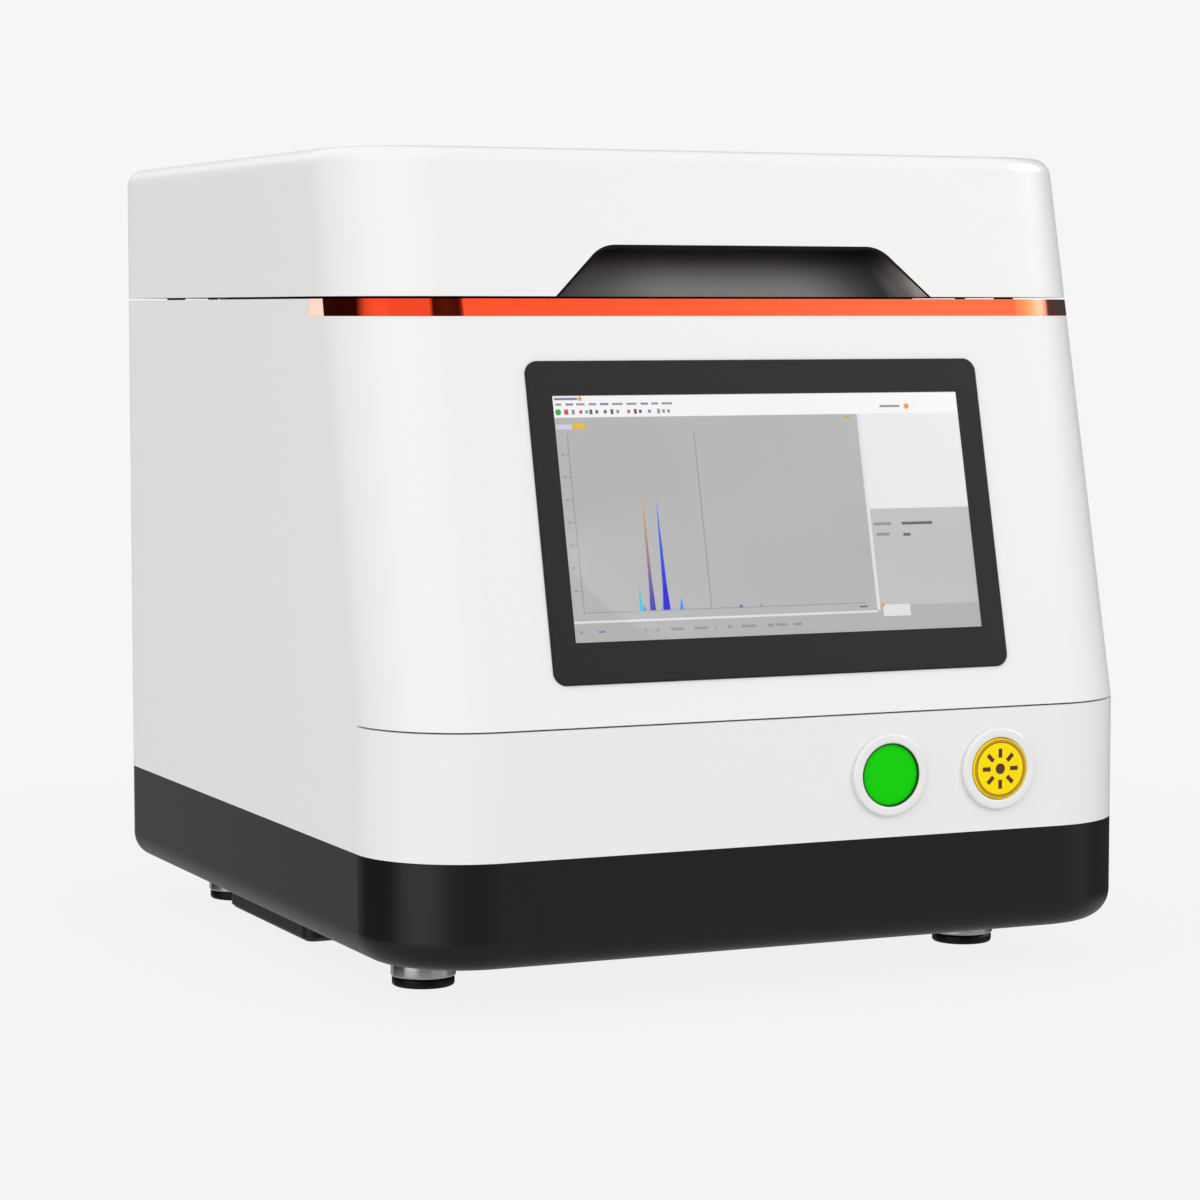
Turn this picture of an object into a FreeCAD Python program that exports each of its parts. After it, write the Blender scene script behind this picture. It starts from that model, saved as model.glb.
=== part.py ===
import FreeCAD, Part

import math
import os

from FreeCAD import Vector

# Benchtop analyzer: a leaning-front case on a black base, with a thick lid hinged at the rear.
# X is to the right, the front faces -Y and Z is up; the floor is z = 0.

# Case: outer sizes
width = 400.0
depth = 425.0
foot_height = 21.5
base_height = 51.3
fascia_height = 60.2
case_rise = 197.8
lid_height = 70.3
lid_gap = 1.1
lean = 0.2428
corner_front = 52.0
corner_rear = 16.0
base_edge = 14.0
lid_edge = 9.0

# Case: walls and seams
wall = 3.5
base_floor = 3.0
lid_wall = 4.0
groove = 0.8
lip = 2.0
lip_reach = 8.0
tongue_rise = 5.0
clear = 0.25
slip = 0.05

# Rim, light strip and deck
rim_width = 12.0
rim_depth = 14.0
ledge_width = 8.0
deck_thick = 3.0
deck_drop = 2.0
strip_height = 8.2
strip_thick = 3.0
strip_end = 15.0
ribbon_thick = 1.2
ribbon_margin = 1.4

# Sample well, stage and window
well_width = 230.0
well_length = 200.0
well_depth = 60.0
well_sheet = 2.0
well_bend = 1.0
well_flange = 8.0
flange_thick = 1.5
well_corner = 3.0
beam_hole = 14.0
stage_size = 130.0
stage_thick = 5.0
stage_corner = 8.0
stage_edge = 1.0
film_radius = 20.0
film_thick = 0.2
window_ring_out = 26.0
window_ring_in = 15.0
window_ring_thick = 3.0
window_ring_edge = 1.0

# Optics under the well
block_half_width = 70.0
block_foot = 30.0
block_front = 35.0
block_rear = 45.0
seat_reach = 75.0
camera_reach = 60.0
collimator_bore = 5.0
tube_nose = 12.0
tube_body = 18.0
tube_flange = 20.0
tube_flange_thick = 5.0
tube_length = 100.0
tube_tail_radius = 10.0
tube_tail = 15.0
tube_gap = 4.0
detector_nose = 8.0
detector_nose_length = 40.0
detector_nose_gap = 3.0
detector_flange = 14.0
detector_flange_thick = 4.0
detector_body = 12.0
detector_length = 56.0
detector_plug_radius = 5.0
detector_plug = 10.0
camera_bore = 5.0
camera_nose_length = 18.0
camera_body = 12.0
camera_length = 28.0
camera_plug_radius = 3.0
camera_plug = 8.0
wheel_place = 55.0
wheel_radius = 36.0
wheel_thick = 2.0
wheel_offset = 30.0
wheel_gap = 0.6
wheel_shaft = 1.5
wheel_shaft_front = 4.0
wheel_shaft_end = 12.0
wheel_shaft_room = 8.0
wheel_motor_radius = 8.0
wheel_motor_length = 22.0
filter_radii = (4.0, 3.0, 2.0, 1.5, 1.0)

# Lid inside
liner_rise = 0.6
liner_thick = 2.0
pan_width = 214.0
pan_length = 184.0
pan_height = 38.0
pan_sheet = 2.0
pan_flange = 8.0
gasket_margin = 10.0
gasket_width = 6.0
seat_gap = 0.3
bumper_radius = 5.0
bumper_edge = 1.0
bumper_inset = 24.0
post_radius = 5.0
magnet_radius = 5.0
magnet_height = 4.0

# Hand recess in the lid
recess_bottom = 201.6
recess_top = 151.4
recess_height = 24.9
recess_corner = 17.0
recess_depth = 28.0
recess_draft = 5.0
recess_roof_draft = 2.0
recess_scoop = 13.0
cup_thick = 1.5

# Hinges
hinge_out = 5.5
knuckle = 5.0
hinge_pin = 2.0
hinge_place = 110.0
hinge_width = 60.0
hinge_leaf = 2.5
hinge_height = 30.0
knuckle_gap = 0.3

# Display on the leaning front, measured up the slope from the crease
bezel_low = 20.0
bezel_side = 12.5
bezel_below = 19.75
bezel_above = 16.75
bezel_proud = 1.2
bezel_corner = 6.5
bezel_edge = 0.7
bezel_flange = 6.5
bezel_body = 9.0
lit_width = 216.0
lit_height = 117.0
glass_recess = 0.2
glass_thick = 1.8
lcd_thick = 5.0
lcd_border = 4.0
bracket_sheet = 1.5
bracket_margin = 5.0
bracket_window = 0.6

# Push buttons on the fascia
start_x = 52.2
xray_x = 112.2
button_z = 103.2
ring_radius = 20.0
ring_proud = 3.2
ring_edge = 1.2
cap_radius = 15.25
cap_gap = 0.35
cap_recess = 0.8
cap_thick = 8.0
cap_edge = 0.6
barrel_wall = 1.6
barrel_length = 14.0
nut_radius = 22.0
nut_thick = 4.0
stem_radius = 4.0
stem_length = 14.0
switch_size = 26.0
switch_length = 18.0

# Feet and lifting grips
foot_x = 149.5
foot_front = 98.0
foot_rear = 43.0
cup_radius = 15.85
cup_edge = 0.8
pad_radius = 15.25
pad_height = 4.8
pad_edge = 1.2
pad_spigot = 12.5
spigot_height = 3.0
foot_boss = 9.0
foot_boss_height = 8.0
m5_radius = 2.5
m5_head = 4.75
m5_head_height = 2.6
grip_x = 180.4
grip_front = 180.0
grip_length = 124.0
grip_width = 20.0
grip_drop = 12.5
grip_corner = 6.0
grip_edge = 2.0
grip_groove = 3.5

# Chassis and electronics
chassis_rise = 11.5
chassis_sheet = 1.5
chassis_inset = 14.0
chassis_boss = 6.0
board_standoff = 10.0
board_thick = 1.6
board_left = -60.0
board_width = 180.0
board_front = 50.0
board_depth = 100.0
board_hole = 6.0
supply_inset = 22.0
supply_width = 86.0
hv_length = 170.0
hv_height = 60.0
hv_plug_radius = 9.0
hv_plug_height = 14.0
power_length = 160.0
power_height = 42.0
power_slot = 5.0
power_slot_pitch = 12.0
power_slots = 9
power_front = 10.0
power_slot_front = 20.0
power_slot_side = 13.0
power_slot_depth = 3.0
pulse_width = 40.0
pulse_length = 120.0
pulse_height = 26.0
base_slot = 4.0
base_slot_pitch = 9.0
base_slots = 7
slot_place = 55.0
slot_reach = 40.0

# Rear panel, fan and sockets
panel_width = 300.0
panel_height = 190.0
panel_low = 95.0
panel_thick = 2.0
panel_overlap = 5.0
fan_x = 80.0
fan_z = 120.0
fan_size = 80.0
fan_thick = 25.0
fan_bore = 38.0
fan_hub = 16.0
fan_tip_gap = 1.2
fan_shaft = 1.5
fan_blades = 7
inlet_x = -110.0
inlet_z = 42.0
inlet_width = 27.0
inlet_height = 47.0
inlet_flange = 2.2
inlet_rim = 2.5
inlet_deep = 28.0
rocker_radius = 7.8
rocker_width = 19.0
rocker_tilt = 8.0
rocker_front = 3.2
rocker_hollow = 1.1
rocker_back = 4.5
port_z = 36.0
usb_x = -55.0
lan_x = -20.0

# Screws
m3_radius = 1.5
m3_head = 2.9
m3_head_height = 1.6
screw_gap = 0.1
foot_screw_grip = 22.0
deck_screw_grip = 10.0
lid_screw_grip = 12.0
rear_screw_grip = 8.0
hinge_screw_grip = 8.0

# Levels and planes worked out from the sizes above
hinge_reach = hinge_out + knuckle
y_front = ring_proud - (ring_proud + depth + hinge_reach) / 2
y_rear = y_front + depth
z_base = foot_height
z_seam = z_base + base_height
z_crease = z_seam + fascia_height
z_rim = z_crease + case_rise
z_lid = z_rim + lid_gap
z_top = z_lid + lid_height
z_deck = z_rim - deck_drop
z_floor = z_deck - well_depth
z_liner = z_lid + liner_rise
y_tangent = y_front + corner_front
lean_angle = math.degrees(math.atan(lean))
bezel_width = lit_width + 2 * bezel_side
bezel_height = bezel_below + lit_height + bezel_above
lit_low = bezel_low + bezel_below

X = Vector(1, 0, 0)
Y = Vector(0, 1, 0)
Z = Vector(0, 0, 1)

os.makedirs("parts", exist_ok=True)


def save(name, shape):
    shape.exportStep("parts/" + name + ".step")


def front_y(z):
    return y_front + lean * max(z - z_crease, 0.0)


y_well = (front_y(z_rim) + y_rear) / 2


def box(x0, x1, y0, y1, z0, z1):
    return Part.makeBox(x1 - x0, y1 - y0, z1 - z0, Vector(x0, y0, z0))


def rod(radius, length, start, along=Z):
    return Part.makeCylinder(radius, length, start, along)


def tube(outer, inner, length, start, along=Z):
    return rod(outer, length, start, along).cut(rod(inner, length, start, along))


def round_edges(shape, radius, chosen):
    return shape.makeFillet(radius, [e for e in shape.Edges if chosen(e)])


def bevel_edges(shape, size, chosen):
    return shape.makeChamfer(size, [e for e in shape.Edges if chosen(e)])


def pad(x0, x1, y0, y1, z0, z1, corner):
    """A flat block with rounded upright corners."""
    upright = lambda e: e.BoundBox.XLength < 1e-6 and e.BoundBox.YLength < 1e-6
    return round_edges(box(x0, x1, y0, y1, z0, z1), corner, upright)


def outline(z, inset=0.0):
    """The case seen from above at height z: round front corners, tighter rear ones."""
    x = width / 2 - inset
    low = front_y(z) + inset
    high = y_rear - inset
    front = max(corner_front - inset, 1.0)
    rear = max(corner_rear - inset, 1.0)
    corners = [
        (x - front, low + front, front, -90),
        (x - rear, high - rear, rear, 0),
        (rear - x, high - rear, rear, 90),
        (front - x, low + front, front, 180),
    ]
    arcs = []
    for cx, cy, radius, start in corners:
        points = []
        for turn in (0, 45, 90):
            angle = math.radians(start + turn)
            points.append(Vector(cx + radius * math.cos(angle), cy + radius * math.sin(angle), z))
        arcs.append(Part.Arc(*points).toShape())
    edges = []
    for i, arc in enumerate(arcs):
        after = arcs[(i + 1) % len(arcs)]
        edges.append(arc)
        edges.append(Part.LineSegment(arc.lastVertex().Point, after.firstVertex().Point).toShape())
    return Part.Wire(edges)


def case(z0, z1, inset=0.0):
    """A block of the case between two heights: upright below the crease, leaning above it."""
    if z1 <= z_crease:
        return Part.Face(outline(z0, inset)).extrude(Vector(0, 0, z1 - z0))
    levels = [z0, z_crease, z1] if z0 < z_crease else [z0, z1]
    return Part.makeLoft([outline(z, inset) for z in levels], True, True)


def band(z0, z1, outer, inner):
    """A ring of wall between two insets of the case outline."""
    return case(z0, z1, outer).cut(case(z0 - 1, z1 + 1, inner))


def front_of(shape, y):
    return shape.common(box(-width, width, y_front - 50, y, -50, z_top + 50))


def behind(shape, y):
    return shape.common(box(-width, width, y, y_rear + 50, -50, z_top + 50))


def screw(start, along, grip, radius, head, head_height):
    """A pan-head screw: the head stands on the face at start, the shank goes the other way."""
    shape = rod(head, head_height, start, along)
    return shape.fuse(rod(radius, grip, start, along * -1))


def foot_places():
    ys = (y_front + foot_front, y_rear - foot_rear)
    return [(x, y) for x in (-foot_x, foot_x) for y in ys]


# Lower case: black base tray with its feet
def chassis_places():
    ys = (y_front + 60, y_well, y_rear - 30)
    return [(x, y) for x in (-110, 110) for y in ys]


chassis_z = z_base + base_floor + chassis_rise


def base_tray():
    low_edge = lambda e: e.BoundBox.ZMax < z_base + 1e-6
    shell = round_edges(case(z_base, z_seam), base_edge, low_edge)
    floor_z = z_base + base_floor
    flat_edge = lambda e: e.BoundBox.ZMax < floor_z + 1e-6
    hollow = bevel_edges(case(floor_z, z_seam + 1, wall), base_edge / 2, flat_edge)
    shell = shell.cut(hollow)
    tongue = band(z_seam - tongue_rise * 2, z_seam, wall, wall + lip)
    tongue = tongue.fuse(band(z_seam, z_seam + tongue_rise, wall + clear, wall + lip))
    shell = shell.fuse(tongue)
    for x, y in foot_places():
        shell = shell.fuse(rod(foot_boss, foot_boss_height, Vector(x, y, floor_z)))
    for x, y in chassis_places():
        shell = shell.fuse(rod(chassis_boss, chassis_rise, Vector(x, y, floor_z)))
    for x, y in foot_places():
        shell = shell.cut(rod(m5_radius + slip, 40, Vector(x, y, z_base - 1)))
    for side in (-1, 1):
        for i in range(base_slots):
            x = side * slot_place + (i - base_slots // 2) * base_slot_pitch
            half = base_slot / 2
            shell = shell.cut(box(x - half, x + half, y_well - slot_reach, y_well + slot_reach,
                                  z_base - 1, floor_z + 1))
    return shell.removeSplitter()


def foot_parts():
    cups, pads, screws = [], [], []
    for x, y in foot_places():
        centre = Vector(x, y, 0)
        cup_low = centre + Z * pad_height
        cup = rod(cup_radius, foot_height - pad_height, cup_low)
        cup = bevel_edges(cup, cup_edge, lambda e: e.Closed)
        cup = cup.cut(rod(pad_spigot + clear, spigot_height + clear, cup_low))
        cups.append(cup.cut(rod(m5_radius + 0.2, foot_height, centre)))
        rubber = rod(pad_radius, pad_height, centre)
        rubber = bevel_edges(rubber, pad_edge, lambda e: e.Closed and e.BoundBox.ZMax < 1e-6)
        rubber = rubber.fuse(rod(pad_spigot, spigot_height, cup_low))
        pads.append(rubber.cut(rod(m5_head + clear, foot_height, centre - Z)))
        seat = cup_low + Z * (spigot_height + clear)
        screws.append(screw(seat, Z * -1, foot_screw_grip, m5_radius, m5_head, m5_head_height))
    return Part.makeCompound(cups), Part.makeCompound(pads), Part.makeCompound(screws)


def lifting_grips():
    """Two hand rails under the long edges, each with a finger groove on its inner side."""
    grips = []
    y0 = y_front + grip_front
    y1 = y0 + grip_length
    for side in (-1, 1):
        outer = side * grip_x
        inner = side * (grip_x - grip_width)
        x0, x1 = min(outer, inner), max(outer, inner)
        rail = pad(x0, x1, y0, y1, z_base - grip_drop, z_base, grip_corner)
        low = lambda e: e.BoundBox.ZMax < z_base - grip_drop + 1e-6
        rail = bevel_edges(rail, grip_edge, low)
        groove_y = grip_length / 2 - grip_corner * 2
        middle = (y0 + y1) / 2
        cutter = rod(grip_groove, groove_y * 2, Vector(inner, middle - groove_y, z_base - grip_drop / 2), Y)
        grips.append(rail.cut(cutter))
    return Part.makeCompound(grips)


# Case: white housing, fascia, light strip
def slope_place(shape):
    """From the display's flat frame (across, up the slope, outwards) to the leaning front."""
    shape = shape.copy()
    turn = FreeCAD.Rotation(X, 90 - lean_angle)
    place = FreeCAD.Placement(Vector(0, y_front, z_crease), turn)
    return shape.transformGeometry(place.toMatrix())


def panel_holes():
    """The screw places round the rear panel."""
    x = panel_width / 2 - panel_overlap + 0.5
    low = z_base + panel_low + panel_overlap - 0.5
    high = low + panel_height - 2 * panel_overlap + 1
    return [(side * x, z) for side in (-1, 0, 1) for z in (low, high)]


def hinge_holes(side):
    return [(side * hinge_place - hinge_width / 4), (side * hinge_place + hinge_width / 4)]


hinge_z = z_rim + lid_gap / 2
leaf_start = knuckle + 0.5
screw_row = leaf_start + hinge_height / 2


def main_housing():
    shell = case(z_seam, z_rim)
    shell = shell.cut(case(z_seam - 1, z_rim - rim_depth, wall))
    deck_hole = Part.Face(outline(z_rim, rim_width)).extrude(Z * -(deck_drop + deck_thick))
    shell = shell.cut(deck_hole)
    inner_face = Part.Face(outline(z_rim, rim_width + ledge_width))
    shell = shell.cut(inner_face.extrude(Z * -(rim_depth + 5)))
    strip_room = band(z_rim - strip_height, z_rim, -1, strip_thick + ribbon_thick + clear)
    shell = shell.cut(front_of(strip_room, y_tangent + strip_shift + strip_end + clear))
    shell = shell.cut(front_of(case(z_seam - 1, z_crease + groove / 2, -1), y_tangent))
    half_w = bezel_width / 2 - bezel_flange + 0.5
    low = bezel_low + bezel_flange - 0.5
    high = bezel_low + bezel_height - bezel_flange + 0.5
    shell = shell.cut(slope_place(box(-half_w, half_w, low, high, -40, 20)))
    z0 = z_base + panel_low
    z1 = z0 + panel_height
    half = panel_width / 2
    shell = shell.cut(box(-half - 0.2, half + 0.2, y_rear - panel_thick, y_rear + 1, z0 - 0.2, z1 + 0.2))
    inside = panel_overlap
    opening = box(inside - half, half - inside, y_rear - 30, y_rear, z0 + inside, z1 - inside)
    shell = shell.cut(opening)
    for x, z in panel_holes():
        corner_boss = box(x - 4, x + 4, y_rear - 9, y_rear - panel_thick, z - 4, z + 4)
        shell = shell.fuse(corner_boss)
        shell = shell.cut(rod(m3_radius + slip, 12, Vector(x, y_rear - 11, z), Y))
    for side in (-1, 1):
        for x in hinge_holes(side):
            shell = shell.cut(rod(m3_radius + slip, 20, Vector(x, y_rear - 19, hinge_z - screw_row), Y))
    for x, y in deck_screw_places():
        shell = shell.cut(rod(m3_radius + slip, 20, Vector(x, y, z_deck - 20)))
    return shell.removeSplitter()


strip_shift = front_y(z_rim) - y_front


def light_strip():
    ring = band(z_rim - strip_height + 0.05, z_rim, 0, strip_thick)
    return front_of(ring, y_tangent + strip_shift + strip_end)


def led_ribbon():
    low = z_rim - strip_height + ribbon_margin
    ring = band(low, z_rim - ribbon_margin, strip_thick + 0.1, strip_thick + 0.1 + ribbon_thick)
    return front_of(ring, y_tangent + strip_shift + strip_end - 2)


def button_centre(x):
    return Vector(x, y_front, button_z)


def control_panel():
    """The lower front: wraps both front corners, with a shelf on top and lips at its ends."""
    top = z_crease - groove / 2
    shell = front_of(band(z_seam, top, 0, wall), y_tangent)
    shelf = front_of(band(top - lip, top, wall - 0.5, rim_width), y_tangent)
    shell = shell.fuse(shelf)
    lip_low = z_seam + tongue_rise + 3
    ends = front_of(band(lip_low, top - lip, wall - 0.2, wall + lip), y_tangent)
    shell = shell.fuse(behind(ends, y_tangent - lip_reach))
    reach = front_of(band(lip_low, top - lip, wall + clear, wall + lip), y_tangent + lip_reach)
    shell = shell.fuse(behind(reach, y_tangent - 0.01))
    for x in (start_x, xray_x):
        hole = rod(cap_radius + cap_gap + barrel_wall + 0.1, 40, button_centre(x) - Y * 20, Y)
        shell = shell.cut(hole)
    return shell.removeSplitter()


# Push buttons
def button_ring(x):
    centre = button_centre(x)
    flange = rod(ring_radius, ring_proud, centre - Y * ring_proud, Y)
    outer = lambda e: e.Closed and e.BoundBox.YMax < centre.y - ring_proud + 1e-6
    flange = bevel_edges(flange, ring_edge, outer)
    barrel = rod(cap_radius + cap_gap + barrel_wall, barrel_length, centre, Y)
    bore = rod(cap_radius + cap_gap, 60, centre - Y * 30, Y)
    return flange.fuse(barrel).cut(bore)


def button_cap(x, recess):
    face = button_centre(x) - Y * (ring_proud - recess)
    cap = rod(cap_radius, cap_thick, face, Y)
    outer = lambda e: e.Closed and e.BoundBox.YMax < face.y + 1e-6
    cap = bevel_edges(cap, cap_edge, outer)
    return cap.fuse(rod(stem_radius, stem_length, face + Y * cap_thick, Y))


def button_switch(x):
    centre = button_centre(x)
    half = switch_size / 2
    y0 = y_front + barrel_length
    y1 = y0 + switch_length
    body = box(x - half, x + half, y0, y1, button_z - half, button_z + half)
    upright = lambda e: e.BoundBox.XLength < 1e-6 and e.BoundBox.ZLength < 1e-6
    body = round_edges(body, 2.0, upright)
    body = body.cut(rod(stem_radius + slip, switch_length - 4, centre + Y * (barrel_length - 0.01), Y))
    for side in (-1, 1):
        pin = box(x + side * 6 - 1.5, x + side * 6 + 1.5, y1, y1 + 7, button_z - 0.4, button_z + 0.4)
        body = body.fuse(pin)
    return body


def button_nuts():
    nuts = []
    for x in (start_x, xray_x):
        start = button_centre(x) + Y * wall
        nuts.append(tube(nut_radius, cap_radius + cap_gap + barrel_wall + 0.05, nut_thick, start, Y))
    return Part.makeCompound(nuts)


# Display
def display_bezel():
    half_w = bezel_width / 2
    high = bezel_low + bezel_height
    frame = pad(-half_w, half_w, bezel_low, high, 0, bezel_proud, bezel_corner)
    front = lambda e: e.BoundBox.ZMin > bezel_proud - 1e-6
    frame = round_edges(frame, bezel_edge, front)
    inner_w = half_w - bezel_flange
    body = box(-inner_w, inner_w, bezel_low + bezel_flange, high - bezel_flange, -bezel_body, 0)
    frame = frame.fuse(body)
    lit_w = lit_width / 2
    lit_high = lit_low + lit_height
    frame = frame.cut(box(-lit_w, lit_w, lit_low, lit_high, -bezel_body, bezel_proud + 1))
    pocket = lcd_border + clear
    back = bezel_proud - glass_recess - glass_thick
    frame = frame.cut(box(-lit_w - pocket, lit_w + pocket, lit_low - pocket, lit_high + pocket,
                          -bezel_body - 1, back))
    return slope_place(frame)


def touch_glass():
    half = lit_width / 2 - 0.1
    top = bezel_proud - glass_recess
    return slope_place(box(-half, half, lit_low + 0.1, lit_low + lit_height - 0.1, top - glass_thick, top))


def lcd_panel():
    half = lit_width / 2 + lcd_border
    top = bezel_proud - glass_recess - glass_thick
    return slope_place(box(-half, half, lit_low - lcd_border, lit_low + lit_height + lcd_border,
                           top - lcd_thick, top))


def display_bracket():
    """Sheet bracket that clamps the display from behind, with a flanged edge towards the case."""
    half = bezel_width / 2 - bezel_flange + bracket_margin
    low = bezel_low + bezel_flange - bracket_margin
    high = bezel_low + bezel_height - bezel_flange + bracket_margin
    back = -bezel_body - bracket_sheet
    plate = box(-half, half, low, high, back, -wall * math.cos(math.radians(lean_angle)) - 0.1)
    sheet = bracket_sheet
    plate = plate.cut(box(sheet - half, half - sheet, low + sheet, high - sheet, -bezel_body, 10))
    w = lit_width / 2 * bracket_window
    h = lit_height / 2 * bracket_window
    middle = lit_low + lit_height / 2
    return slope_place(plate.cut(box(-w, w, middle - h, middle + h, back - 1, 0)))


# Deck and sample well
def deck_screw_places():
    middle = rim_width + ledge_width / 2
    x = width / 2 - middle
    ys = (front_y(z_rim) + corner_front + 10, y_well + 20, y_rear - corner_rear - 14)
    return [(side * x, y) for side in (-1, 1) for y in ys]


def top_deck():
    deck = Part.Face(outline(z_rim, rim_width + clear)).extrude(Z * -deck_thick)
    deck.translate(Z * -deck_drop)
    half_w = well_width / 2 + well_sheet + clear
    half_l = well_length / 2 + well_sheet + clear
    hole = pad(-half_w, half_w, y_well - half_l, y_well + half_l, z_deck - 10, z_deck + 10, well_corner)
    deck = deck.cut(hole)
    for x, y in deck_screw_places():
        deck = deck.cut(rod(m3_radius + screw_gap, 20, Vector(x, y, z_deck - 10)))
    return deck


def sample_well():
    half_w = well_width / 2
    half_l = well_length / 2
    sheet = well_sheet
    tub = pad(-half_w - sheet, half_w + sheet, y_well - half_l - sheet, y_well + half_l + sheet,
              z_floor - sheet, z_deck, well_corner)
    edge = sheet + well_flange
    flange = pad(-half_w - edge, half_w + edge, y_well - half_l - edge, y_well + half_l + edge,
                 z_deck, z_deck + flange_thick, well_corner + well_flange)
    tub = tub.fuse(flange)
    tub = tub.cut(pad(-half_w, half_w, y_well - half_l, y_well + half_l,
                      z_floor, z_deck + 10, well_bend))
    return tub.cut(rod(beam_hole, 20, Vector(0, y_well, z_floor - 10)))


def stage_plate():
    half = stage_size / 2
    plate = pad(-half, half, y_well - half, y_well + half, z_floor, z_floor + stage_thick, stage_corner)
    top = lambda e: e.BoundBox.ZMin > z_floor + stage_thick - 1e-6
    plate = bevel_edges(plate, stage_edge, top)
    return plate.cut(rod(window_ring_in, 20, Vector(0, y_well, z_floor - 10)))


z_window = z_floor + stage_thick


def window_ring():
    start = Vector(0, y_well, z_window)
    ring = rod(window_ring_out, window_ring_thick, start)
    ring = bevel_edges(ring, window_ring_edge, lambda e: e.Closed and e.BoundBox.ZMin > z_window + 1)
    ring = ring.cut(rod(window_ring_in, 20, start - Z * 5))
    return ring.cut(rod(film_radius + 0.1, film_thick + 0.1, start))


def window_film():
    return rod(film_radius, film_thick, Vector(0, y_well, z_window))


# Optics: tube and detector look up at the window from two sides, the camera from the front
spot = Vector(0, y_well, z_window)
block_top = z_floor - well_sheet
half_root = math.sqrt(0.5)
tube_axis = Vector(-half_root, 0, -half_root)
detector_axis = Vector(half_root, 0, -half_root)
camera_axis = Vector(0, -half_root, -half_root)


def optics_block():
    drop = seat_reach / half_root
    foot_z = spot.z - (drop - block_foot)
    shoulder_z = spot.z - (drop - block_half_width)
    y0 = y_well - block_front
    corners = [(-block_half_width, block_top), (-block_half_width, shoulder_z), (-block_foot, foot_z),
               (block_foot, foot_z), (block_half_width, shoulder_z), (block_half_width, block_top)]
    points = [Vector(x, y0, z) for x, z in corners]
    block = Part.Face(Part.makePolygon(points + points[:1])).extrude(Y * (block_front + block_rear))
    camera_seat = spot + camera_axis * camera_reach
    block = block.cut(rod(seat_reach * 3, seat_reach, camera_seat, camera_axis))
    block = block.cut(rod(collimator_bore, seat_reach, spot, tube_axis))
    block = block.cut(rod(tube_nose, seat_reach, spot + tube_axis * wheel_place, tube_axis))
    block = block.cut(rod(collimator_bore, seat_reach, spot, detector_axis))
    nose_end = seat_reach - detector_nose_length - detector_nose_gap
    block = block.cut(rod(detector_nose, seat_reach, spot + detector_axis * nose_end, detector_axis))
    block = block.cut(rod(camera_bore, seat_reach, spot, camera_axis))
    hub = wheel_hub()
    half_slot = wheel_thick / 2 + wheel_gap
    block = block.cut(rod(wheel_radius + wheel_gap, half_slot * 2, hub - tube_axis * half_slot, tube_axis))
    return block.cut(rod(wheel_shaft + slip, seat_reach, hub - tube_axis * wheel_shaft_room, tube_axis))


def wheel_hub():
    return spot + tube_axis * wheel_place + Y * wheel_offset


def collimator_wheel():
    """Disc with one collimator hole per position, on its own short shaft."""
    hub = wheel_hub()
    disc = rod(wheel_radius, wheel_thick, hub - tube_axis * (wheel_thick / 2), tube_axis)
    for i, radius in enumerate(filter_radii):
        turn = FreeCAD.Rotation(tube_axis, 360 * i / len(filter_radii))
        centre = hub + turn.multVec(Y * -wheel_offset)
        disc = disc.cut(rod(radius, 20, centre - tube_axis * 10, tube_axis))
    reach = seat_reach - wheel_place
    shaft = rod(wheel_shaft, reach + wheel_shaft_end, hub - tube_axis * wheel_shaft_front, tube_axis)
    return disc.fuse(shaft)


def wheel_motor():
    seat = wheel_hub() + tube_axis * (seat_reach - wheel_place)
    motor = rod(wheel_motor_radius, wheel_motor_length, seat, tube_axis)
    return motor.cut(rod(wheel_shaft + slip, wheel_motor_length - 4, seat, tube_axis))


def stacked(seat, along, steps):
    """Coaxial cylinders end to end: each step is a radius and a length."""
    shape = None
    place = seat
    for radius, length in steps:
        piece = rod(radius, length, place, along)
        shape = piece if shape is None else shape.fuse(piece)
        place = place + along * length
    return shape


def xray_tube():
    nose = seat_reach - wheel_place - tube_gap
    start = spot + tube_axis * (seat_reach - nose)
    steps = [(tube_nose - 0.1, nose), (tube_flange, tube_flange_thick), (tube_body, tube_length),
             (tube_tail_radius, tube_tail)]
    return stacked(start, tube_axis, steps)


def detector():
    start = spot + detector_axis * (seat_reach - detector_nose_length)
    steps = [(detector_nose - 0.1, detector_nose_length), (detector_flange, detector_flange_thick),
             (detector_body, detector_length), (detector_plug_radius, detector_plug)]
    return stacked(start, detector_axis, steps)


def sample_camera():
    start = spot + camera_axis * (camera_reach - camera_nose_length)
    steps = [(camera_bore - 0.1, camera_nose_length), (camera_body, camera_length),
             (camera_plug_radius, camera_plug)]
    return stacked(start, camera_axis, steps)


# Chassis and electronics
def chassis_plate():
    """Bent sheet tray on the base bosses, with pressed-in standoffs for the main board."""
    plate = Part.Face(outline(chassis_z, chassis_inset)).extrude(Z * chassis_sheet)
    rim = band(chassis_z, chassis_z + 10, chassis_inset, chassis_inset + chassis_sheet)
    plate = plate.fuse(behind(front_of(rim, y_rear - 60), y_tangent + 10))
    for x, y in board_corners():
        plate = plate.fuse(rod(3, board_standoff, Vector(x, y, chassis_z + chassis_sheet)))
    for side in (-1, 1):
        middle = side * slot_place
        half = base_slots * base_slot_pitch / 2
        slot = box(middle - half, middle + half, y_well - slot_reach, y_well + slot_reach,
                   chassis_z - 1, chassis_z + 5)
        plate = plate.cut(slot)
    return plate.removeSplitter()


board_x = (board_left, board_left + board_width)
board_y = (y_front + board_front, y_front + board_front + board_depth)
board_z = chassis_z + chassis_sheet + board_standoff


def board_corners():
    inset = board_hole
    ys = (board_y[0] + inset, board_y[1] - inset)
    return [(x, y) for x in (board_x[0] + inset, board_x[1] - inset) for y in ys]


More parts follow.
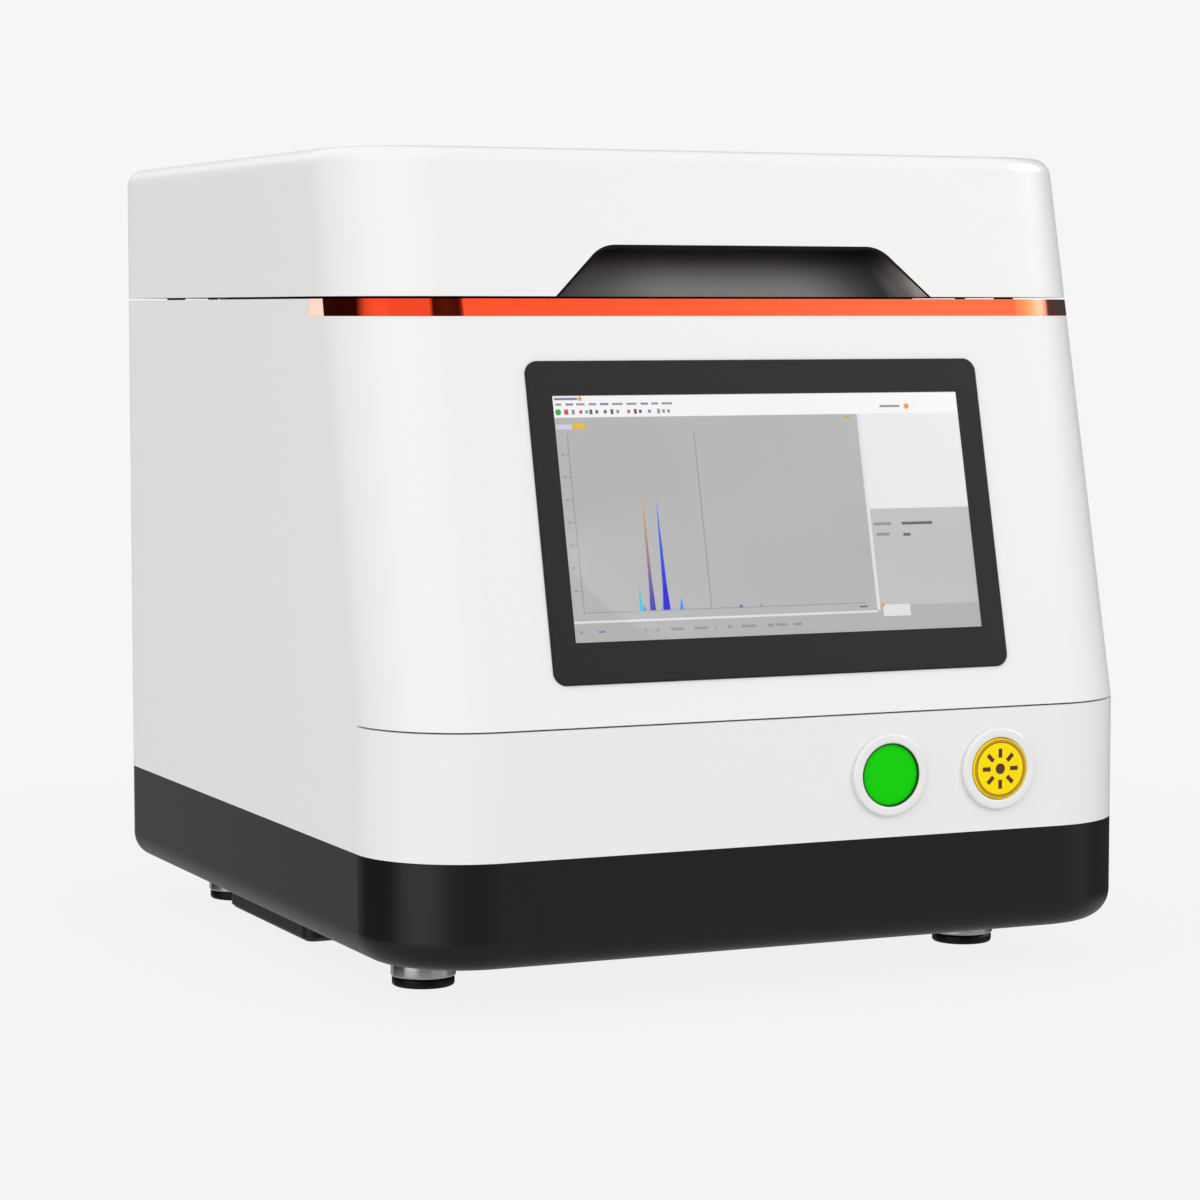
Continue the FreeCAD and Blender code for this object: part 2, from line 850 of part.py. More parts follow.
def main_board():
    board = box(board_x[0], board_x[1], board_y[0], board_y[1], board_z, board_z + board_thick)
    top = board_z + board_thick
    x0, y0 = board_x[0], board_y[0]
    chips = [(20, 20, 40, 40, 9), (75, 25, 22, 22, 2.5), (110, 20, 55, 12, 10), (110, 45, 30, 20, 3),
             (20, 70, 60, 14, 8), (100, 76, 60, 14, 12), (150, 48, 14, 20, 6)]
    for dx, dy, w, l, h in chips:
        board = board.fuse(box(x0 + dx, x0 + dx + w, y0 + dy, y0 + dy + l, top, top + h))
    return board


def seated_box(x0, x1, y0, y1, height, corner=3.0):
    z0 = chassis_z + chassis_sheet
    return pad(x0, x1, y0, y1, z0, z0 + height, corner)


supply_side = width / 2 - supply_inset


def hv_supply():
    left = -supply_side
    half = hv_length / 2
    body = seated_box(left, left + supply_width, y_well - half, y_well + half, hv_height)
    top = Vector(left + supply_width * 2 / 3, y_well + half - 35, chassis_z + chassis_sheet + hv_height)
    return body.fuse(rod(hv_plug_radius, hv_plug_height, top))


def power_supply():
    """Caged supply with a slotted top."""
    x0, x1 = supply_side - supply_width, supply_side
    y0 = y_well - power_front
    body = seated_box(x0, x1, y0, y0 + power_length, power_height, 1.0)
    z1 = chassis_z + chassis_sheet + power_height
    for i in range(power_slots):
        y = y0 + power_slot_front + i * power_slot_pitch
        body = body.cut(box(x0 + power_slot_side, x1 - power_slot_side, y, y + power_slot,
                            z1 - power_slot_depth, z1 + 1))
    return body


def pulse_processor():
    half_w, half_l = pulse_width / 2, pulse_length / 2
    return seated_box(-half_w, half_w, y_well - half_l, y_well + half_l, pulse_height)


# Rear panel, fan, sockets
def panel_z(height):
    return z_base + panel_low + height


def rear_panel():
    half = panel_width / 2
    y0 = y_rear - panel_thick
    panel = box(-half, half, y0, y_rear, panel_z(0), panel_z(panel_height))
    cuts = []
    centre = Vector(fan_x, y0 - 1, panel_z(fan_z))
    spokes = []
    for angle in (45, 135):
        spoke = box(-fan_size, fan_size, y0 - 2, y_rear + 2, -2, 2)
        spoke.rotate(Vector(0, 0, 0), Y, angle)
        spoke.translate(Vector(fan_x, 0, panel_z(fan_z)))
        spokes.append(spoke)
    for i in range(4):
        inner = 9 + 7 * i
        slot = tube(inner + 4.2, inner, panel_thick + 2, centre, Y)
        cuts.append(slot.cut(Part.makeCompound(spokes)))
    for i in range(14):
        x = -125 + 8 * i
        cuts.append(box(x, x + 3, y0 - 1, y_rear + 1, panel_z(fan_z - 28), panel_z(fan_z + 28)))
    w, h = inlet_width / 2 + 0.2, inlet_height / 2 + 0.2
    z = panel_z(inlet_z)
    cuts.append(box(inlet_x - w, inlet_x + w, y0 - 1, y_rear + 1, z - h, z + h))
    z = panel_z(port_z)
    for x, w, h in ((usb_x, 7.4, 8.2), (lan_x, 8.2, 7.0)):
        cuts.append(box(x - w, x + w, y0 - 1, y_rear + 1, z - h, z + h))
    for x, z in panel_holes():
        cuts.append(rod(m3_radius + screw_gap, panel_thick + 2, Vector(x, y0 - 1, z), Y))
    for cut in cuts:
        panel = panel.cut(cut)
    return panel


def fan_frame():
    half = fan_size / 2
    y1 = y_rear - panel_thick
    y0 = y1 - fan_thick
    z = panel_z(fan_z)
    upright = lambda e: e.BoundBox.XLength < 1e-6 and e.BoundBox.ZLength < 1e-6
    frame = round_edges(box(fan_x - half, fan_x + half, y0, y1, z - half, z + half), 4, upright)
    frame = frame.cut(rod(fan_bore, fan_thick, Vector(fan_x, y0, z), Y))
    strut_deep = 4
    for angle in (45, 135):
        strut = box(-fan_bore - 1, fan_bore + 1, y0, y0 + strut_deep, -2.5, 2.5)
        strut.rotate(Vector(0, 0, 0), Y, angle)
        strut.translate(Vector(fan_x, 0, z))
        frame = frame.fuse(strut)
    frame = frame.fuse(rod(fan_hub, strut_deep, Vector(fan_x, y0, z), Y))
    return frame.cut(rod(fan_shaft + slip, 10, Vector(fan_x, y0 - 1, z), Y)).removeSplitter()


def fan_rotor():
    """Hub with twisted blades, on a shaft in the frame's bearing."""
    y0 = y_rear - panel_thick - fan_thick
    z = panel_z(fan_z)
    start = Vector(fan_x, y0 + 5, z)
    hub_deep = fan_thick - 7
    rotor = rod(fan_hub, hub_deep, start, Y)
    tip = fan_bore - fan_tip_gap
    for i in range(fan_blades):
        sections = []
        for radius, pitch in ((fan_hub - 2, 50), (tip, 28)):
            chord = 12 if radius < fan_hub else 17
            section = []
            for along, across in ((-1, -1), (1, -1), (1, 1), (-1, 1)):
                a, b = along * chord / 2, across * 0.8
                tilt = math.radians(pitch)
                y = a * math.sin(tilt) + b * math.cos(tilt)
                x = a * math.cos(tilt) - b * math.sin(tilt)
                section.append(Vector(x, hub_deep / 2 + y, radius * 0.97))
            sections.append(Part.makePolygon(section + section[:1]))
        blade = Part.makeLoft(sections, True, True)
        blade.rotate(Vector(0, 0, 0), Y, 360 * i / fan_blades)
        blade.translate(start)
        rotor = rotor.fuse(blade)
    return rotor.fuse(rod(fan_shaft, 6, start - Y * 5, Y))


def rocker_pivot():
    return Vector(inlet_x, y_rear + 0.5, panel_z(inlet_z) + 11)


def power_inlet():
    """Three-pin mains inlet below a rocker switch, in one snap-in module."""
    w, h = inlet_width / 2, inlet_height / 2
    z = panel_z(inlet_z)
    body = box(inlet_x - w, inlet_x + w, y_rear - inlet_deep, y_rear, z - h, z + h)
    rim = inlet_rim
    flange = box(inlet_x - w - rim, inlet_x + w + rim, y_rear, y_rear + inlet_flange,
                 z - h - rim, z + h + rim)
    corner = lambda e: e.BoundBox.XLength < 1e-6 and e.BoundBox.ZLength < 1e-6
    body = body.fuse(round_edges(flange, 2.5, corner))
    y_deep = y_rear - inlet_deep + 8
    profile = [(-12, -20), (12, -20), (12, -9), (7, -4), (-7, -4), (-12, -9)]
    points = [Vector(inlet_x + px, y_deep, z + pz) for px, pz in profile]
    socket = Part.Face(Part.makePolygon(points + points[:1])).extrude(Y * 60)
    body = body.cut(socket)
    pivot = rocker_pivot()
    half = rocker_width / 2 + 0.4
    room = rocker_radius + 0.4
    body = body.cut(box(inlet_x - half, inlet_x + half, pivot.y - room, pivot.y + 20,
                        pivot.z - room, pivot.z + room))
    return body.cut(rod(1.2 + slip, rocker_width + 4, pivot - X * (rocker_width / 2 + 2), X))


def inlet_pins():
    pins = []
    z = panel_z(inlet_z) - 12
    y0 = y_rear - inlet_deep + 8
    for dx, dz in ((-7, -1.5), (0, 2.5), (7, -1.5)):
        x = inlet_x + dx
        pins.append(box(x - 1, x + 1, y0, y0 + 16, z + dz - 2, z + dz + 2))
    return Part.makeCompound(pins)


def power_rocker():
    """Rocker with a shallow V face, at rest on its off side."""
    pivot = rocker_pivot()
    half = rocker_width / 2
    rocker = rod(rocker_radius, rocker_width, pivot - X * half, X)
    keep = box(inlet_x - half, inlet_x + half, pivot.y - rocker_back, pivot.y + rocker_front,
               pivot.z - 20, pivot.z + 20)
    rocker = rocker.common(keep)
    for side in (-1, 1):
        face = pivot + Y * (rocker_front - rocker_hollow)
        low = face.z if side > 0 else face.z - 20
        slab = box(inlet_x - half - 1, inlet_x + half + 1, face.y, face.y + 10, low, low + 20)
        slab.rotate(face, X, -side * rocker_tilt)
        rocker = rocker.cut(slab)
    rocker = rocker.fuse(rod(1.2, rocker_width + 3, pivot - X * (half + 1.5), X))
    rocker.rotate(pivot, X, -rocker_tilt)
    return rocker


def io_ports():
    """Twin data sockets and a network socket, each a metal shell open to the rear."""
    z = panel_z(port_z)
    y0 = y_rear - 18
    usb = box(usb_x - 7.2, usb_x + 7.2, y0, y_rear + 0.3, z - 8, z + 8)
    for dz in (-4, 4):
        usb = usb.cut(box(usb_x - 6.3, usb_x + 6.3, y0 + 4, y_rear + 1, z + dz - 2.6, z + dz + 2.6))
        usb = usb.fuse(box(usb_x - 5.5, usb_x + 5.5, y0 + 3, y_rear - 2, z + dz + 0.5, z + dz + 1.9))
    lan = box(lan_x - 8, lan_x + 8, y0, y_rear + 0.3, z - 6.8, z + 6.8)
    lan = lan.cut(box(lan_x - 6, lan_x + 6, y0 + 4, y_rear + 1, z - 3, z + 5))
    lan = lan.cut(box(lan_x - 2.5, lan_x + 2.5, y0 + 4, y_rear + 1, z - 5, z - 2.9))
    return Part.makeCompound([usb, lan])


def io_board():
    z = panel_z(port_z)
    y1 = y_rear - 18
    board = box(usb_x - 20, lan_x + 20, y1 - board_thick, y1, z - 18, z + 18)
    return board.fuse(box(usb_x, lan_x, y1 - board_thick - 8, y1 - board_thick, z - 6, z + 6))


def rear_screws():
    screws = []
    for x, z in panel_holes():
        start = Vector(x, y_rear, z)
        screws.append(screw(start, Y, rear_screw_grip, m3_radius, m3_head, m3_head_height))
    return Part.makeCompound(screws)


def deck_screws():
    screws = []
    for x, y in deck_screw_places():
        start = Vector(x, y, z_deck)
        screws.append(screw(start, Z, deck_screw_grip, m3_radius, m3_head, m3_head_height))
    return Part.makeCompound(screws)


# Lid
def recess_outline(y, spread, draft, roof_draft):
    """Trapezoid of the hand recess, its two upper corners rounded."""
    bottom = recess_bottom / 2 + spread - draft
    top = recess_top / 2 + spread * (math.sqrt(2) - 1) - draft
    low = z_lid - 5
    high = z_lid + recess_height + spread - roof_draft
    run = bottom - top
    slope_len = math.hypot(run, high - z_lid)
    ux, uz = run / slope_len, (high - z_lid) / slope_len
    half_turn = math.atan2(uz, ux) / 2
    back = (recess_corner + spread) * math.tan(half_turn)
    foot_x_out = bottom + 5 * ux / uz
    edges = []
    right_slope = Vector(top + ux * back, y, high - uz * back)
    right_top = Vector(top - back, y, high)
    centre = Vector(top - back, y, high - recess_corner - spread)
    away = Vector(top, y, high) - centre
    middle = centre + away * ((recess_corner + spread) / away.Length)
    mirror = lambda v: Vector(-v.x, v.y, v.z)
    right_low = Vector(foot_x_out, y, low)
    edges.append(Part.LineSegment(mirror(right_low), right_low).toShape())
    edges.append(Part.LineSegment(right_low, right_slope).toShape())
    edges.append(Part.Arc(right_slope, middle, right_top).toShape())
    edges.append(Part.LineSegment(right_top, mirror(right_top)).toShape())
    edges.append(Part.Arc(mirror(right_top), mirror(middle), mirror(right_slope)).toShape())
    edges.append(Part.LineSegment(mirror(right_slope), mirror(right_low)).toShape())
    return Part.Wire(edges)


recess_start = front_y(z_lid) - 2
recess_back = front_y(z_lid) + recess_depth


def recess_block(spread, back):
    """The recess as a block: its sides and roof close in and sweep into the back in one curve."""
    share = (back - recess_start) / (recess_back - recess_start)
    front = recess_outline(recess_start, spread, 0, 0)
    rear = recess_outline(back, spread, recess_draft * share, recess_roof_draft * share)
    block = Part.makeLoft([front, rear], True, True)
    deep = lambda e: e.BoundBox.YMin > back - 1e-3 and e.BoundBox.ZMax > z_lid
    return round_edges(block, recess_scoop + spread, deep)


def lid_post_places():
    x = width / 2 - 40
    ys = (front_y(z_lid) + 75, y_well + 20, y_rear - 40)
    return [(side * x, y) for side in (-1, 1) for y in ys]


def lid_shell():
    shell = case(z_lid, z_top)
    shell = round_edges(shell, lid_edge, lambda e: e.BoundBox.ZMin > z_top - 1e-6)
    hollow = case(z_lid - 1, z_top - lid_wall, lid_wall)
    hollow = bevel_edges(hollow, lid_edge / 2, lambda e: e.BoundBox.ZMin > z_top - lid_wall - 1e-6)
    shell = shell.cut(hollow)
    for x, y in lid_post_places():
        low = z_liner + liner_thick
        post = tube(post_radius, m3_radius + slip, z_top - lid_wall - low + 0.5, Vector(x, y, low))
        shell = shell.fuse(post)
    shell = shell.cut(recess_block(0.15, recess_back))
    for side in (-1, 1):
        for x in hinge_holes(side):
            shell = shell.cut(rod(m3_radius + slip, 20, Vector(x, y_rear - 12, hinge_z + screw_row), Y))
    return shell.removeSplitter()


def handle_cup():
    """Bent metal liner of the hand recess, open to the front and below."""
    cup = recess_block(0, recess_back)
    cup = cup.cut(recess_block(-cup_thick, recess_back - cup_thick))
    return cup.common(case(z_lid, z_top))


def over_well(margin, z0, z1):
    """A block over the well, larger than the shield pan's inside by a margin."""
    half_w = pan_width / 2 + margin
    half_l = pan_length / 2 + margin
    return box(-half_w, half_w, y_well - half_l, y_well + half_l, z0, z1)


def lid_liner():
    """Flat inner plate of the lid, with a window over the well."""
    low, high = z_liner, z_liner + liner_thick
    plate = case(low, high, lid_wall + clear)
    plate = plate.cut(over_well(0, low - 1, high + 1))
    notch = recess_bottom / 2 + 1
    plate = plate.cut(box(-notch, notch, y_front, recess_back + 0.5, low - 5, high + 5))
    for x, y in lid_post_places():
        plate = plate.cut(rod(m3_radius + screw_gap, 20, Vector(x, y, low - 10)))
    return plate


def shield_pan():
    """Folded shield pan on top of the liner, with room for a sample taller than the well."""
    low = z_liner + liner_thick
    high = low + pan_height
    pan = over_well(pan_sheet, low, high + pan_sheet)
    pan = pan.fuse(over_well(pan_flange, low, low + pan_sheet))
    return pan.cut(over_well(0, low - 1, high))


def lid_screws():
    screws = []
    for x, y in lid_post_places():
        start = Vector(x, y, z_liner)
        screws.append(screw(start, Z * -1, lid_screw_grip, m3_radius, m3_head, m3_head_height))
    return Part.makeCompound(screws)


def lid_gasket():
    inner_w = well_width / 2 + well_sheet + gasket_margin
    inner_l = well_length / 2 + well_sheet + gasket_margin
    z0 = z_deck + seat_gap
    g = gasket_width
    outer = pad(-inner_w - g, inner_w + g, y_well - inner_l - g, y_well + inner_l + g,
                z0, z_liner, well_corner + g)
    return outer.cut(pad(-inner_w, inner_w, y_well - inner_l, y_well + inner_l,
                         z0 - 1, z_liner + 1, well_corner))


def lid_bumpers():
    z0 = z_deck + seat_gap
    x = width / 2 - bumper_inset
    bumpers = []
    for side in (-1, 1):
        for y in (front_y(z_lid) + corner_front + 6, y_rear - bumper_inset):
            bump = rod(bumper_radius, z_liner - z0, Vector(side * x, y, z0))
            low = lambda e: e.Closed and e.BoundBox.ZMax < z0 + 1e-6
            bumpers.append(bevel_edges(bump, bumper_edge, low))
    return Part.makeCompound(bumpers)


magnet_place = Vector(-width / 2 + 70, front_y(z_lid) + 30, z_liner + liner_thick)


def interlock_magnet():
    return rod(magnet_radius, magnet_height, magnet_place)


def interlock_sensor():
    x, y = magnet_place.x, magnet_place.y
    z1 = z_deck - deck_thick
    return box(x - 14, x + 14, y - 6, y + 6, z1 - 8, z1)


# Hinges
def hinge_parts():
    lowers, uppers, pins, low_screws, high_screws = [], [], [], [], []
    y_axis = y_rear + hinge_out
    half = hinge_width / 2
    third = hinge_width / 4
    for side in (-1, 1):
        x = side * hinge_place
        hole = rod(hinge_pin + slip, hinge_width + 2, Vector(x - half - 1, y_axis, hinge_z), X)
        low = box(x - half, x + half, y_rear, y_rear + hinge_leaf,
                  hinge_z - leaf_start - hinge_height, hinge_z - leaf_start)
        for end in (-1, 1):
            x0 = x + end * (half - third / 2) - third / 2
            low = low.fuse(rod(knuckle, third, Vector(x0, y_axis, hinge_z), X))
            low = low.fuse(box(x0, x0 + third, y_rear, y_rear + hinge_leaf,
                               hinge_z - leaf_start - 1, hinge_z))
        wide = half - third - knuckle_gap
        high = box(x - half, x + half, y_rear, y_rear + hinge_leaf,
                   hinge_z + leaf_start, hinge_z + leaf_start + hinge_height)
        high = high.fuse(rod(knuckle, wide * 2, Vector(x - wide, y_axis, hinge_z), X))
        high = high.fuse(box(x - wide, x + wide, y_rear, y_rear + hinge_leaf,
                             hinge_z, hinge_z + leaf_start + 1))
        low, high = low.cut(hole), high.cut(hole)
        for hx in hinge_holes(side):
            low_hole = Vector(hx, y_rear, hinge_z - screw_row)
            high_hole = Vector(hx, y_rear, hinge_z + screw_row)
            low = low.cut(rod(m3_radius + screw_gap, 10, low_hole - Y * 2, Y))
            high = high.cut(rod(m3_radius + screw_gap, 10, high_hole - Y * 2, Y))
            for group, hole_place in ((low_screws, low_hole), (high_screws, high_hole)):
                face = hole_place + Y * hinge_leaf
                group.append(screw(face, Y, hinge_screw_grip, m3_radius, m3_head, m3_head_height))
        lowers.append(low)
        uppers.append(high)
        pins.append(rod(hinge_pin, hinge_width, Vector(x - half, y_axis, hinge_z), X))
    groups = (lowers, uppers, pins, low_screws, high_screws)
    return [Part.makeCompound(group) for group in groups]


save("base_tray", base_tray())
cups, pads, foot_screws = foot_parts()
save("foot_cups", cups)
save("foot_pads", pads)
save("foot_screws", foot_screws)
save("lifting_grips", lifting_grips())

save("main_housing", main_housing())
save("control_panel", control_panel())
save("light_strip", light_strip())
save("led_ribbon", led_ribbon())

for name, x, recess in (("start", start_x, cap_recess), ("xray", xray_x, 0.0)):
    save(name + "_ring", button_ring(x))
    save(name + "_cap", button_cap(x, recess))
    save(name + "_switch", button_switch(x))
save("button_nuts", button_nuts())

save("display_bezel", display_bezel())
save("touch_glass", touch_glass())
save("lcd_panel", lcd_panel())
save("display_bracket", display_bracket())

save("top_deck", top_deck())
save("deck_screws", deck_screws())
save("sample_well", sample_well())
save("stage_plate", stage_plate())
save("window_ring", window_ring())
save("window_film", window_film())
save("interlock_sensor", interlock_sensor())

save("optics_block", optics_block())
save("collimator_wheel", collimator_wheel())
save("wheel_motor", wheel_motor())
save("xray_tube", xray_tube())
save("detector", detector())
save("sample_camera", sample_camera())

save("chassis_plate", chassis_plate())
save("main_board", main_board())
save("hv_supply", hv_supply())
save("power_supply", power_supply())
save("pulse_processor", pulse_processor())

save("rear_panel", rear_panel())
save("rear_screws", rear_screws())
save("fan_frame", fan_frame())
save("fan_rotor", fan_rotor())
save("power_inlet", power_inlet())
save("inlet_pins", inlet_pins())
save("power_rocker", power_rocker())
save("io_ports", io_ports())
save("io_board", io_board())

save("lid_shell", lid_shell())
save("handle_cup", handle_cup())
save("lid_liner", lid_liner())
save("shield_pan", shield_pan())
save("lid_screws", lid_screws())
save("lid_gasket", lid_gasket())
save("lid_bumpers", lid_bumpers())
save("interlock_magnet", interlock_magnet())

hinge_names = ("hinge_leaves_lower", "hinge_leaves_upper", "hinge_pins",
               "hinge_screws_lower", "hinge_screws_upper")
for name, shape in zip(hinge_names, hinge_parts()):
    save(name, shape)
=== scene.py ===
import math

import bmesh
import bpy
from mathutils import Matrix, Vector


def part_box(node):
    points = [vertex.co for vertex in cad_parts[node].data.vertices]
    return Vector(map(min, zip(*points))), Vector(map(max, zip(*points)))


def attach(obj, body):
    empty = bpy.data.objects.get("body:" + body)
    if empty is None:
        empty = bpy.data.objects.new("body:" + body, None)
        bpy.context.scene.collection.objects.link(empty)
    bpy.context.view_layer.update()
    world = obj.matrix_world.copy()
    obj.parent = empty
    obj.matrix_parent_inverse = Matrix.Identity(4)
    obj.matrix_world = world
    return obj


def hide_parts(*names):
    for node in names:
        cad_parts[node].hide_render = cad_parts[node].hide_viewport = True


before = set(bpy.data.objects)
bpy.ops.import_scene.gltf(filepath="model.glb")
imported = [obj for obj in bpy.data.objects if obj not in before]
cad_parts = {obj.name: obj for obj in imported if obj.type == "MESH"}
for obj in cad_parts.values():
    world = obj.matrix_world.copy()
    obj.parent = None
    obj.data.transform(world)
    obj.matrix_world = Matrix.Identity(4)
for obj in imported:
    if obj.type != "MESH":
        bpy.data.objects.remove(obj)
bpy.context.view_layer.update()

# Floor: a sweep of painted paper on which the instrument stands. Near the object it takes a
# very faint shadow, and further out it runs into the backdrop without a line.
backdrop_hex = "#F6F6F6"
shadow_reach, backdrop_reach = 0.3, 0.8
least_backdrop = 0.93
sweep_half = 30


def linear(hex_colour):
    """An sRGB hex colour as linear values with alpha 1."""
    parts = [int(hex_colour[i:i + 2], 16) / 255 for i in (1, 3, 5)]
    return [p / 12.92 if p <= 0.04045 else ((p + 0.055) / 1.055) ** 2.4 for p in parts] + [1.0]


def add(tree, kind, settings=None, **links):
    """A node with its settings; links give a socket a value or another node's output.

    A socket goes by its label with _ for a space, or by _ and its number where labels repeat."""
    node = tree.nodes.new(kind)
    for key, value in (settings or {}).items():
        setattr(node, key, value)
    for key, value in links.items():
        socket = node.inputs[int(key[1:])] if key[1:].isdigit() else node.inputs[key.replace("_", " ")]
        if isinstance(value, bpy.types.NodeSocket):
            tree.links.new(value, socket)
        else:
            socket.default_value = value
    return node


def new_piece(name, bm, *materials):
    """A new object at the origin whose place is in its mesh."""
    mesh = bpy.data.meshes.new(name)
    bm.to_mesh(mesh)
    bm.free()
    for material in materials:
        mesh.materials.append(material)
    piece = bpy.data.objects.new(name, mesh)
    bpy.context.scene.collection.objects.link(piece)
    return piece


# Matt painted paper: an even pale grey without shine, which glows a little far out so that it
# meets the backdrop. What isn't the camera gets less of the glow, so the base stays dark below.
sweep = bpy.data.materials.new("painted paper sweep")
sweep.use_nodes = True
tree = sweep.node_tree
tree.nodes.clear()
place = add(tree, "ShaderNodeTexCoord")
away = add(tree, "ShaderNodeVectorMath", {"operation": "LENGTH"}, _0=place.outputs["Object"])
far = add(tree, "ShaderNodeMapRange", {"interpolation_type": "SMOOTHSTEP"},
          Value=away.outputs["Value"], From_Min=shadow_reach, From_Max=backdrop_reach,
          To_Min=least_backdrop, To_Max=1.0)
fibre = add(tree, "ShaderNodeTexNoise", Vector=place.outputs["Object"], Scale=900.0, Detail=2.0)
tone = add(tree, "ShaderNodeMix", {"data_type": "RGBA"}, _0=fibre.outputs[0],
           _6=linear("#DCDCDC"), _7=linear("#DEDEDE"))
paper = add(tree, "ShaderNodeBsdfDiffuse", Color=tone.outputs[2])
seen = add(tree, "ShaderNodeLightPath")
glow = add(tree, "ShaderNodeMapRange", Value=seen.outputs["Is Camera Ray"], To_Min=0.7, To_Max=1.0)
bright = add(tree, "ShaderNodeEmission", Color=linear(backdrop_hex), Strength=glow.outputs[0])
both = add(tree, "ShaderNodeMixShader", _0=far.outputs[0], _1=paper.outputs[0], _2=bright.outputs[0])
add(tree, "ShaderNodeOutputMaterial", Surface=both.outputs[0])
bm = bmesh.new()
bmesh.ops.create_grid(bm, x_segments=1, y_segments=1, size=sweep_half)
floor = new_piece("floor", bm, sweep)
floor.visible_glossy = False

# Studio light: a soft dome, brighter from the front left, and around it a ring of tall light
# and dark panels that only show as reflections in the glossy pieces.
world = bpy.data.worlds.new("studio")
bpy.context.scene.world = world
bpy.context.scene.view_settings.view_transform = "Standard"
world.use_nodes = True
tree = world.node_tree
tree.nodes.clear()
panel_scale = 10.0
roof_level, below_level = 1.0, 0.4

# Each panel edge: its bearing in degrees from the front, positive towards the left, and the
# brightness there. The upper ring shows in the leaning front and the lower one in upright sides.
upper_panels = [(-180, 1.0), (-164, 1.0), (-160, 0.02), (-104, 0.02), (-100, 9.0), (-72, 7.5), (-55, 3.4),
                (-34, 1.35), (-21, 1.15), (-18, 0.05), (-4, 0.09), (10, 0.05), (14, 0.9), (58, 0.9),
                (64, 1.1), (92, 1.1), (96, 0.02), (152, 0.02), (156, 1.8), (174, 1.8), (180, 1.0)]
lower_panels = [(-180, 0.3), (-164, 0.3), (-160, 0.02), (-78, 0.1), (-62, 0.5), (-46, 0.36), (-16, 0.33),
                (-4, 0.16), (30, 0.16), (46, 0.7), (52, 0.95), (72, 0.95), (86, 0.7), (96, 0.02),
                (150, 0.02), (157, 0.35), (180, 0.3)]


def ring_of(bearing, stops):
    """The brightness all the way round from stops of (degrees, level)."""
    ramp = add(tree, "ShaderNodeValToRGB", _0=bearing)
    elements = ramp.color_ramp.elements
    elements.remove(elements[-1])
    for i, (degrees, level) in enumerate(stops):
        position = degrees / 360 + 0.5
        element = elements[0] if i == 0 else elements.new(position)
        element.position = position
        element.color = (level / panel_scale,) * 3 + (1,)
    return ramp.outputs[0]


direction = add(tree, "ShaderNodeTexCoord").outputs["Generated"]
split = add(tree, "ShaderNodeSeparateXYZ", _0=direction)
leftward = add(tree, "ShaderNodeMath", {"operation": "MULTIPLY"}, _0=split.outputs["X"], _1=-1.0)
forward = add(tree, "ShaderNodeMath", {"operation": "MULTIPLY"}, _0=split.outputs["Y"], _1=-1.0)
turn = add(tree, "ShaderNodeMath", {"operation": "ARCTAN2"}, _0=leftward.outputs[0], _1=forward.outputs[0])
bearing = add(tree, "ShaderNodeMapRange", Value=turn.outputs[0], From_Min=-math.pi, From_Max=math.pi)
upper = ring_of(bearing.outputs[0], upper_panels)
lower = ring_of(bearing.outputs[0], lower_panels)

# Heights are the Z of a direction, from -1 straight down to 1 straight up.
rise = add(tree, "ShaderNodeMapRange", Value=split.outputs["Z"], From_Min=0.24, From_Max=0.36)
sides = add(tree, "ShaderNodeMix", {"data_type": "RGBA"}, _0=rise.outputs[0], _6=lower, _7=upper)
overhead = add(tree, "ShaderNodeMapRange", Value=split.outputs["Z"], From_Min=0.62, From_Max=0.75)
roofed = add(tree, "ShaderNodeMix", {"data_type": "RGBA"}, _0=overhead.outputs[0],
             _6=sides.outputs[2], _7=(roof_level / panel_scale,) * 3 + (1,))
below = add(tree, "ShaderNodeMapRange", Value=split.outputs["Z"], From_Min=-0.2, From_Max=-0.34)
around = add(tree, "ShaderNodeMix", {"data_type": "RGBA"}, _0=below.outputs[0],
             _6=roofed.outputs[2], _7=(below_level / panel_scale,) * 3 + (1,))
panels = add(tree, "ShaderNodeBackground", Color=around.outputs[2], Strength=panel_scale)

toward_fill = Vector((-0.75, -0.66, 0.05)).normalized()
facing = add(tree, "ShaderNodeVectorMath", {"operation": "DOT_PRODUCT"}, _0=direction, _1=toward_fill)
dome_level = add(tree, "ShaderNodeMapRange", Value=facing.outputs["Value"], To_Min=0.70, To_Max=1.55)
dome = add(tree, "ShaderNodeBackground", Color=(1, 1, 1, 1), Strength=dome_level.outputs[0])
seen = add(tree, "ShaderNodeLightPath")
lighting = add(tree, "ShaderNodeMixShader", _0=seen.outputs["Is Glossy Ray"],
               _1=dome.outputs[0], _2=panels.outputs[0])
backdrop = add(tree, "ShaderNodeBackground", Color=linear(backdrop_hex), Strength=1.0)
choice = add(tree, "ShaderNodeMixShader", _0=seen.outputs["Is Camera Ray"],
             _1=lighting.outputs[0], _2=backdrop.outputs[0])
add(tree, "ShaderNodeOutputWorld", Surface=choice.outputs[0])

# Key lamp: one round soft box, high at the front right, which rounds the shading of the
# corners. It stays out of reflections and out of the cover glass.
key_aim = Vector((0, 0, 0.2))
key = bpy.data.lights.new("key_lamp", "AREA")
key.shape = "DISK"
key.size = 1.0
key.energy = 8.7
key_lamp = bpy.data.objects.new("key_lamp", key)
key_lamp.location = (1.5, -2.5, 1.5)
key_lamp.rotation_euler = (key_aim - key_lamp.location).to_track_quat("-Z", "Y").to_euler()
key_lamp.visible_glossy = False
key_lamp.visible_transmission = False
bpy.context.scene.collection.objects.link(key_lamp)

